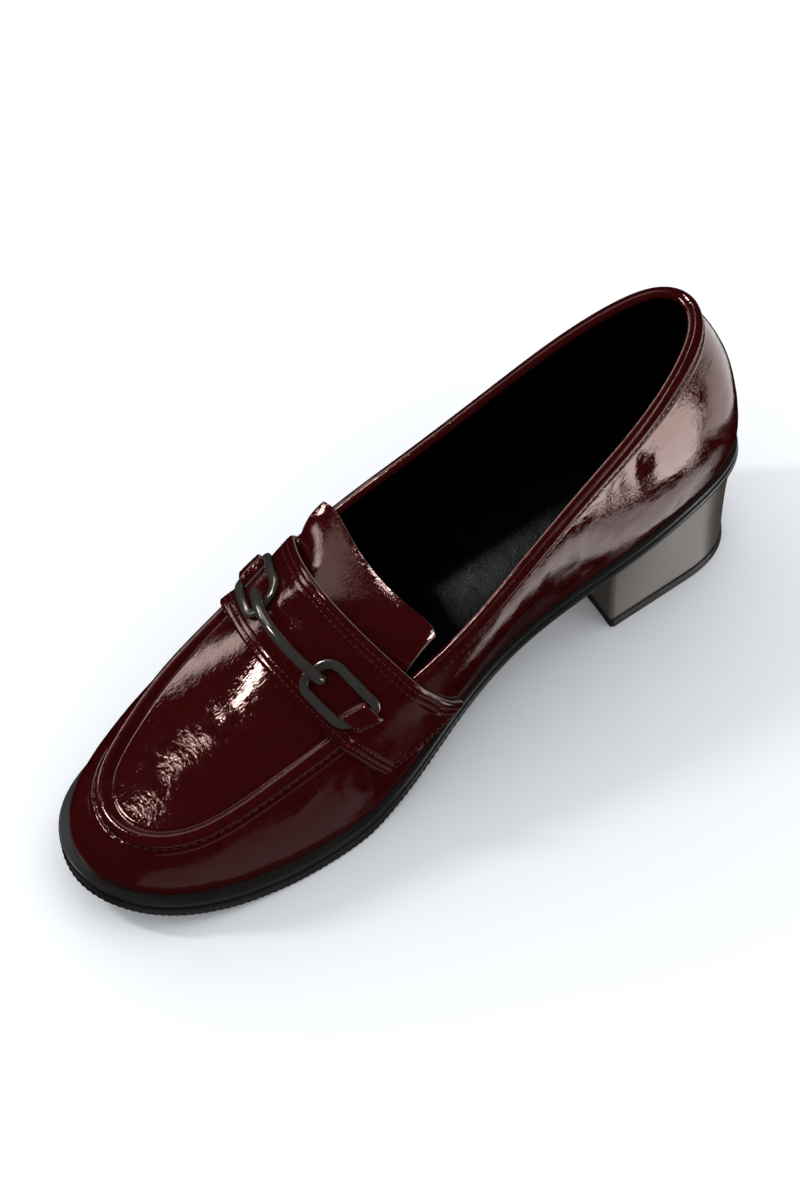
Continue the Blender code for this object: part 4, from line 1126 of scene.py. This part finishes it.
def border_distance(rows, columns, row_step, column_step, sides=(1, 1, 1, 1)):
    """Distance of each grid point from the nearest of the border's first row, last row and two ends."""
    r = np.arange(rows)[:, None] * row_step * np.ones((1, columns))
    c = np.arange(columns)[None, :] * column_step * np.ones((rows, 1))
    far = 1.0
    parts = [r if sides[0] else far + 0 * r, r[-1, 0] - r if sides[1] else far + 0 * r,
             c if sides[2] else far + 0 * c, c[0, -1] - c if sides[3] else far + 0 * c]
    return np.minimum.reduce(parts)


def edge_relief(distance, thickness, rows_of_stitches):
    """Rounded cut edge and stitch grooves of a flat piece of leather."""
    drop = EDGE_DROP * thickness * (1 - np.clip(distance / EDGE_ROUND, 0, 1)) ** 2
    groove = sum(EDGE_GROOVE * bell(distance, at, EDGE_GROOVE_WIDTH) for at in rows_of_stitches)
    return -drop - groove


def grid_line(grid, rows, columns, lift):
    """Line through a grid's places given as row and column numbers, lifted along its normals."""
    rows, columns = np.broadcast_arrays(rows, columns)
    points = grid.reshape(-1, 3)
    normals = point_normals(points, grid_quads(*grid.shape[:2])).reshape(grid.shape)
    return Grid(grid).at(rows, columns) + Grid(normals).at(rows, columns) * lift


def build_tongue(patent, edge, thread_material, tree):
    rows, columns = 60, 81
    grid = tongue_grid(rows, columns)
    row_step = TONGUE_LENGTH / (rows - 1)
    column_step = TONGUE_WIDTH / (columns - 1)
    distance = border_distance(rows, columns, row_step, column_step, (0, 1, 1, 1))
    half = TONGUE_THICKNESS / 2
    soft = soft_relief(grid, TONGUE_WAVES) * fade(distance, 0, EDGE_CALM)
    outside = half + edge_relief(distance, TONGUE_THICKNESS, (TONGUE_STITCH_INSET,)) + soft
    points, faces, border = shell(grid.reshape(-1, 3), grid_quads(rows, columns), outside.ravel(),
                                  -half + 0.3 * soft.ravel())
    make_piece("tongue_leather", points, faces, [patent, edge], "oxblood_patent", ["tongue"], border)
    end_row = rows - 1 - TONGUE_STITCH_INSET / row_step
    near = TONGUE_STITCH_INSET / column_step
    far = columns - 1 - near
    rise = np.linspace(end_row * 0.55, end_row, 30)
    surface = points[:rows * columns].reshape(rows, columns, 3)
    lines = [grid_line(surface, end_row, np.linspace(near, far, 60), TONGUE_STITCH_LIFT)]
    lines += [grid_line(surface, rise, column, TONGUE_STITCH_LIFT) for column in (near, far)]
    sew("tongue_stitches", lines, tree, thread_material, TONGUE_STITCH)


# Strap

def convex_over(points):
    order = sorted(map(tuple, points))
    upper = []
    for p in order:
        while len(upper) > 1:
            a, b = upper[-2], upper[-1]
            if (b[0] - a[0]) * (p[1] - a[1]) - (b[1] - a[1]) * (p[0] - a[0]) < 0:
                break
            upper.pop()
        upper.append(p)
    return np.array(upper)


def trim_low_end(line, height):
    """Line of x, z points cut off where it first rises past a height."""
    k = int(np.argmax(line[:, 1] > height))
    low, high = line[k - 1], line[k]
    return np.vstack([low + (high - low) * (height - low[1]) / (high[1] - low[1]), line[k:]])


def taut_section(last, sides, station):
    """Convex line over the upper in the leaning plane through a crest station, as x, z points."""
    top = float(crest(station))
    lines = []
    for side in sides:
        crest_station = side[:, :, 1] + (top - side[:, :, 2]) * STRAP_LEAN + side[:, :, 0] * STRAP_SKEW
        places = range(side.shape[1])
        x = [np.interp(station, crest_station[:, k], side[:, k, 0]) for k in places]
        z = [np.interp(station, crest_station[:, k], side[:, k, 2]) for k in places]
        lines.append(np.column_stack([x, z]))
    x = np.linspace(lines[0][-1, 0], lines[1][-1, 0], 31)[1:-1]
    z = np.full(len(x), top)
    for _ in range(6):
        z = instep_height(last, x, station - (top - z) * STRAP_LEAN - x * STRAP_SKEW)
    widest = [int(np.argmax(np.abs(line[:, 0]))) for line in lines]
    hull = convex_over(np.vstack([line[k:] for line, k in zip(lines, widest)] + [np.column_stack([x, z])]))
    line = np.vstack([lines[0][:widest[0]], hull, lines[1][:widest[1]][::-1]])
    return trim_low_end(trim_low_end(line, STRAP_END_HEIGHT)[::-1], STRAP_END_HEIGHT)[::-1]


def smoothed(grid, axis, rounds):
    """Grid eased along one axis, with its ends kept."""
    grid = np.moveaxis(grid.copy(), axis, 0)
    for _ in range(rounds):
        grid[1:-1] = grid[1:-1] * 0.5 + (grid[:-2] + grid[2:]) * 0.25
    return np.moveaxis(grid, 0, axis)


def strap_grid(upper, rows, columns):
    last = upper["last"]
    sides = two_sides(upper["surface"].points)
    grid = []
    for station in np.linspace(strap_rear(), STRAP_FRONT, rows):
        line = even_points(taut_section(last, sides, station), columns)
        along = station - (float(crest(station)) - line[:, 1]) * STRAP_LEAN - line[:, 0] * STRAP_SKEW
        grid.append(np.column_stack([line[:, 0], along, line[:, 1]]))
    return smoothed(smoothed(np.array(grid), 1, 30), 0, 6)


class StrapFrame:
    """Places on the strap's outside: u from its crest towards the outer side, v towards the toe, h above."""

    def __init__(self, grid, lift):
        rows, columns = grid.shape[:2]
        normals = point_normals(grid.reshape(-1, 3), grid_quads(rows, columns)).reshape(grid.shape)
        self.grid = Grid(grid + normals * lift)
        middle = self.grid.points[rows // 2]
        run = run_along(middle)
        self.run = run - np.interp(0.0, middle[:, 0], run)
        self.rows = rows

    def surface(self, u, v):
        column = np.interp(u, self.run, np.arange(len(self.run)))
        row = (0.5 + v / STRAP_WIDTH) * (self.rows - 1)
        return self.grid.at(row, column)

    def place(self, u, v, h):
        u, v, h = np.broadcast_arrays(np.atleast_1d(u).astype(float), v, h)
        across = self.surface(u + NORMAL_REACH, v) - self.surface(u - NORMAL_REACH, v)
        along = self.surface(u, v + NORMAL_REACH) - self.surface(u, v - NORMAL_REACH)
        normal = np.cross(across, along)
        normal /= np.linalg.norm(normal, axis=1)[:, None]
        return self.surface(u, v) + normal * h[:, None]

    def bit_place(self, u, v, h):
        """Place on the turned bit."""
        c, s = math.cos(BIT_TURN), math.sin(BIT_TURN)
        u, v = np.broadcast_arrays(np.atleast_1d(u).astype(float), v)
        return self.place(u * c + v * s - BIT_SHIFT, v * c - u * s + BIT_FORWARD, h)


def build_strap(upper, patent, edge, thread_material, tree):
    rows, columns = 57, 201
    grid = strap_grid(upper, rows, columns)
    row_step = STRAP_WIDTH / (rows - 1)
    column_step = run_along(grid[rows // 2])[-1] / (columns - 1)
    distance = border_distance(rows, columns, row_step, column_step)
    soft = fade(distance, 0, EDGE_CALM) * soft_relief(grid, STRAP_WAVES)
    relief = edge_relief(distance, STRAP_THICKNESS, STRAP_STITCH_INSETS) + soft
    points, faces, border = shell(grid.reshape(-1, 3), grid_quads(rows, columns),
                                  (STRAP_CLEARANCE + STRAP_THICKNESS + relief).ravel(), [STRAP_CLEARANCE])
    make_piece("saddle_strap", points, faces, [patent, edge], "oxblood_patent", ["strap"], border)
    surface = points[:rows * columns].reshape(rows, columns, 3)
    lines = []
    for inset in STRAP_STITCH_INSETS:
        r = np.array([inset / row_step, rows - 1 - inset / row_step])
        c = np.array([inset / column_step, columns - 1 - inset / column_step])
        lines += [grid_line(surface, row, np.linspace(*c, 220), STRAP_STITCH_LIFT) for row in r]
        lines += [grid_line(surface, np.linspace(*r, 40), column, STRAP_STITCH_LIFT) for column in c]
    sew("strap_stitches", lines, tree, thread_material, STRAP_STITCH)
    return StrapFrame(grid, STRAP_CLEARANCE + STRAP_THICKNESS)


# Snaffle bit

def build_links(strap, metal):
    half_length = LINK_LENGTH / 2 - LINK_BAR / 2
    half_width = LINK_WIDTH / 2 - LINK_BAR / 2
    flat = []
    for corner_u, corner_v, radius, start in ((1, 1, LINK_CORNER, 0), (-1, 1, LINK_ROUND, 90),
                                              (-1, -1, LINK_ROUND, 180), (1, -1, LINK_CORNER, 270)):
        for angle in np.radians(start + np.linspace(0, 90, 16)):
            flat.append((corner_u * (half_length - radius) + radius * math.cos(angle),
                         corner_v * (half_width - radius) + radius * math.sin(angle)))
    flat = even_points(np.array(flat + flat[:1]), 121)[:-1]
    section = round_section(LINK_BAR / 2, LINK_THICKNESS / 2, 3.2, 16)
    height = LINK_GAP + LINK_THICKNESS / 2
    for outward, side_name in ((-1, "inner"), (1, "outer")):
        path = strap.bit_place(outward * (LINK_SPREAD + flat[:, 0]), flat[:, 1], height)
        side = path - strap.bit_place(outward * LINK_SPREAD, 0.0, height)
        points, faces = sweep(path, side, section, closed=True)
        if outward < 0:
            faces = [face[::-1] for face in faces]
        name = f"bit_link_{side_name}"
        make_piece(f"{name}_polished", points, faces, [metal], "gunmetal", [name], smooth_angle=60)


def build_bar(strap, metal):
    inner_end = LINK_SPREAD - LINK_LENGTH / 2 + LINK_BAR / 2
    clear = LINK_BAR / 2 + BIT_BAR / 2 + GAP
    low = GAP + BIT_BAR / 2 + BAR_OVER_LINK
    over = LINK_GAP + LINK_THICKNESS + GAP + BIT_BAR / 2 + BAR_OVER_LINK
    right = [(inner_end + clear * back, low + (over - low) * up) for back, up in BAR_END_TURN]
    right.append((inner_end, over))
    right += [(inner_end * t, over + BIT_ARCH * (1 - t * t)) for t in BAR_ARCH_SHARES]
    flat = np.array([(-u, h) for u, h in right] + [(0, over + BIT_ARCH)] + [(u, h) for u, h in right[::-1]])
    flat = smoothed(even_points(flat, 90), 0, 6)
    path = strap.bit_place(flat[:, 0], 0.0, flat[:, 1])
    side = strap.bit_place(flat[:, 0], MM, flat[:, 1]) - path
    points, faces = sweep(path, side, round_section(BIT_BAR / 2, BIT_BAR / 2, 2.0, 20), closed=False)
    make_piece("bit_bar_polished", points, faces, [metal], "gunmetal", ["bit_bar"], smooth_angle=60)


def build_tabs(strap, patent, edge, thread_material, tree):
    middle = LINK_SPREAD + LINK_LENGTH / 2 - LINK_BAR / 2
    rise = LINK_THICKNESS + LINK_GAP
    rows, columns = 41, 49
    lines = []
    for outward, side_name in ((-1, "inner"), (1, "outer")):
        u, v = np.meshgrid(np.linspace(-TAB_LENGTH / 2, TAB_LENGTH / 2, rows),
                           np.linspace(TAB_WIDTH / 2, -TAB_WIDTH / 2, columns), indexing="ij")
        over = 1 - fade(np.abs(u), LINK_BAR / 2 + TAB_SLACK, LINK_BAR / 2 + TAB_SLACK + rise)
        lift = GAP + rise * over
        place = strap.bit_place(outward * (middle + u).ravel(), (v * outward).ravel(), lift.ravel())
        distance = border_distance(rows, columns, TAB_LENGTH / (rows - 1), TAB_WIDTH / (columns - 1))
        outside = TAB_THICKNESS + edge_relief(distance, TAB_THICKNESS, (TAB_STITCH_INSET,))
        points, faces, border = shell(place, grid_quads(rows, columns), outside.ravel(), [0])
        name = f"keeper_tab_{side_name}"
        make_piece(f"{name}_leather", points, faces, [patent, edge], "oxblood_patent", [name], border)
        surface = points[:rows * columns].reshape(rows, columns, 3)
        r = TAB_STITCH_INSET / TAB_LENGTH * (rows - 1)
        c = TAB_STITCH_INSET / TAB_WIDTH * (columns - 1)
        across = np.linspace(c, columns - 1 - c, 30)
        lines += [grid_line(surface, row, across, TAB_STITCH_LIFT) for row in (r, rows - 1 - r)]
    sew("keeper_stitches", lines, tree, thread_material, TAB_STITCH)


# Stud

def build_stud(upper, metal):
    outer = two_sides(upper["surface"].points)[1]

    def on_side(station, height):
        places = range(outer.shape[1])
        x = [np.interp(station, outer[:, k, 1], outer[:, k, 0]) for k in places]
        z = [np.interp(station, outer[:, k, 1], outer[:, k, 2]) for k in places]
        return np.array([np.interp(height, z, x), station, height])

    reach = STUD_DIAMETER / 2
    middle = on_side(STUD_STATION, STUD_HEIGHT)
    along = on_side(STUD_STATION + reach, STUD_HEIGHT) - on_side(STUD_STATION - reach, STUD_HEIGHT)
    upward = on_side(STUD_STATION, STUD_HEIGHT + reach) - on_side(STUD_STATION, STUD_HEIGHT - reach)
    along /= np.linalg.norm(along)
    normal = np.cross(along, upward)
    normal /= np.linalg.norm(normal)
    upward = np.cross(normal, along)
    angle = np.linspace(0, 2 * math.pi, 64, endpoint=False)
    circle = np.cos(angle)[:, None] * along + np.sin(angle)[:, None] * upward
    rings = [middle + circle * reach * radius + normal * (GAP + STUD_RISE * rise)
             for radius, rise in STUD_SIDE]
    size = len(rings), len(circle)
    faces = list(grid_quads(*size, rings=True)) + end_caps(*size)
    make_piece("counter_stud", np.vstack(rings), faces, [metal], "gunmetal", ["heel_stud"], smooth_angle=60)


# Sole and insole

def build_outsole(rubber):
    last = last_columns(800)
    table = np.array([(i, out, down) for i, (out, down) in enumerate(SOLE_SIDE)])
    fine = smooth_table(table, np.linspace(0, len(SOLE_SIDE) - 1, 37))
    run = run_along(last["edge"])
    notch = 0.5 + 0.5 * np.cos(2 * math.pi * run / NOTCH_PITCH)
    notch = notch ** 0.6 * fade(last["edge"][:, 1], *NOTCH_FROM)
    rings = []
    for out, down in fine:
        offset = out - NOTCH_DEPTH * notch * fade(down, *NOTCH_DOWN)
        ring = last["edge"] + last["outward"] * np.reshape(offset, (-1, 1))
        height = sole_top(ring[:, 1]) - down * sole_thick(ring[:, 1])
        rings.append(np.column_stack([ring, height]))
    make_piece("outsole_moulding", *ring_stack(rings), [rubber], "black_rubber", ["outsole"], smooth_angle=45)


def build_insole(sock):
    last = last_columns(220)
    rings = []
    for inset, rise in INSOLE_SIDE[::-1]:
        loop = last["feather"][:, :2] - last["outward"] * (WALL + INSOLE_CLEARANCE + inset)
        rings.append(np.column_stack([loop, sole_top(loop[:, 1]) + GAP + INSOLE_THICKNESS * rise]))
    make_piece("sock_lined_insole", *ring_stack(rings), [sock], "black_lining", ["insole"], smooth_angle=60)


# Heel

def heel_loop(half_width, back, breast, hollow, corner):
    """Heel outline from the back round the inner side, over the breast and back on the outer side."""
    turn = np.linspace(0, math.pi / 2, 41)
    reach = min(HEEL_ROUND, breast - back)
    side = [(half_width * math.sin(a) ** HEEL_SQUARE, back + reach * (1 - math.cos(a) ** HEEL_SQUARE))
            for a in turn]
    straight = breast - corner - back - reach
    side += [(half_width, back + reach + straight * t) for t in np.linspace(0.1, 1, 10)]
    bend = np.linspace(0, math.pi / 2, 9)[1:]
    side += [(half_width - corner * (1 - math.cos(a)), breast - corner * (1 - math.sin(a))) for a in bend]
    for share in np.linspace(1, 0, 15)[1:]:
        side.append(((half_width - corner) * share, breast - hollow * (1 - share ** 2)))
    inner = [(HEEL_SHIFT - x, y) for x, y in side]
    outer = [(HEEL_SHIFT + x, y) for x, y in side[1:-1]]
    return np.array(inner + outer[::-1])


def heel_level(share, inset=0.0):
    """Heel outline at a share of the way from the sole down to the floor."""
    waist = HEEL_WAIST * 4 * share * (1 - share)
    half_width = HEEL_TOP_WIDTH / 2 - HEEL_TAPER_SIDE * share - waist - inset
    back = HEEL_INSET + HEEL_TAPER_BACK * share + waist + inset
    breast = HEEL_LENGTH - HEEL_TAPER_BREAST * share - inset
    return heel_loop(half_width, back, breast, HEEL_BREAST_HOLLOW, HEEL_CORNER)


def build_heel(lacquer, rubber):
    rings = []
    levels = [(0.0, 0.25 * MM), (0.012, 0.0)] + [(s, 0.0) for s in np.linspace(0.05, 0.97, 22)]
    levels += [(0.985, 0.05 * MM), (1.0, 0.3 * MM)]
    for share, inset in levels:
        loop = heel_level(share, inset)
        under = sole_under(loop[:, 1]) - GAP
        rings.append(np.column_stack([loop, under * (1 - share) + (TOP_LIFT + GAP) * share]))
    block = ring_stack(rings, HEEL_PAIRS)
    make_piece("heel_block_lacquered", *block, [lacquer], "dark_heel", ["heel_block"])
    rings = []
    for out, height in LIFT_SIDE:
        loop = heel_level(1.0, -out)
        rings.append(np.column_stack([loop, np.full(len(loop), height)]))
    lift = ring_stack(rings, HEEL_PAIRS)
    make_piece("heel_top_lift_rubber", *lift, [rubber], "black_rubber", ["heel_top_lift"])


# Floor, light and camera

def build_stage():
    shader = Shader("floor_paper")
    tone = shader.mix(shader.noise(0.5, 2.0), *FLOOR_PAPER)
    mesh = bpy.data.meshes.new("floor")
    corners = [(x * FLOOR_REACH, y * FLOOR_REACH, 0) for x, y in ((-1, -1), (1, -1), (1, 1), (-1, 1))]
    mesh.from_pydata(corners, [], [range(4)])
    mesh.materials.append(shader.finish(Base_Color=tone, Roughness=0.8, Specular_IOR_Level=0.1))
    floor = add_object("floor", mesh)
    floor.visible_glossy = False
    world = bpy.data.worlds.new("studio")
    bpy.context.scene.world = world
    world.use_nodes = True
    world.cycles_visibility.glossy = False
    background = world.node_tree.nodes["Background"]
    background.inputs["Color"].default_value = SKY
    background.inputs["Strength"].default_value = SKY_STRENGTH


def build_lights():
    """Rectangular lamps; the gloss shows them as panels, and those under the floor show nowhere else."""
    for name, direction, distance, size, brightness, aim in LAMPS:
        data = bpy.data.lights.new(name, "AREA")
        data.shape = "RECTANGLE"
        data.size, data.size_y = size
        data.energy = brightness * math.pi * size[0] * size[1]
        lamp = add_object(name, data)
        lamp.location = Vector(aim) + Vector(direction).normalized() * distance
        lamp.rotation_euler = (Vector(aim) - lamp.location).to_track_quat("-Z", "Y").to_euler()
        lamp.visible_glossy = name not in UNSEEN_IN_GLOSS
        lamp.visible_diffuse = name not in SEEN_IN_GLOSS_ALONE


def build_camera():
    azimuth, elevation = math.radians(CAMERA_AZIMUTH), math.radians(CAMERA_ELEVATION)
    forward = Vector((-math.sin(azimuth) * math.cos(elevation), math.cos(azimuth) * math.cos(elevation),
                      -math.sin(elevation)))
    data = bpy.data.cameras.new("camera")
    data.lens = CAMERA_LENS
    camera = add_object("camera", data)
    camera.location = Vector(SHOE_MIDDLE) - forward * CAMERA_DISTANCE
    turn = forward.to_track_quat("-Z", "Y") @ Quaternion((0, 0, 1), math.radians(CAMERA_ROLL))
    camera.rotation_euler = turn.to_euler()
    bpy.context.scene.camera = camera
    bpy.context.scene.view_settings.view_transform = "Standard"


def build_shoe():
    patent = crinkled_patent("oxblood_patent", OXBLOOD, OXBLOOD_PAINTED_SHEEN)
    lining = smooth_leather("black_lining", BLACK_LINING, 0.5, 0.04 * MM)
    sock = smooth_leather("black_sock", BLACK_SOCK, 0.29, 0.08 * MM)
    rubber = moulded_rubber("black_rubber", BLACK_RUBBER, 0.34)
    lift = moulded_rubber("top_lift_rubber", TOP_LIFT_RUBBER, 0.5)
    lacquer = lacquered_heel("dark_heel", HEEL_LACQUER_WITH_SHEEN)
    metal = dark_metal("gunmetal", GUNMETAL)
    sewing = thread("oxblood_thread", OXBLOOD_THREAD)
    edge = cut_edge("cut_edge", CUT_EDGE)
    tree = stitch_tree()
    upper = build_upper(patent, lining)
    sew_upper(upper, tree, sewing)
    build_tongue(patent, edge, sewing, tree)
    strap = build_strap(upper, patent, edge, sewing, tree)
    build_links(strap, metal)
    build_bar(strap, metal)
    build_tabs(strap, patent, edge, sewing, tree)
    build_stud(upper, metal)
    build_outsole(rubber)
    build_insole(sock)
    build_heel(lacquer, lift)


build_camera()
build_stage()
build_lights()
build_shoe()
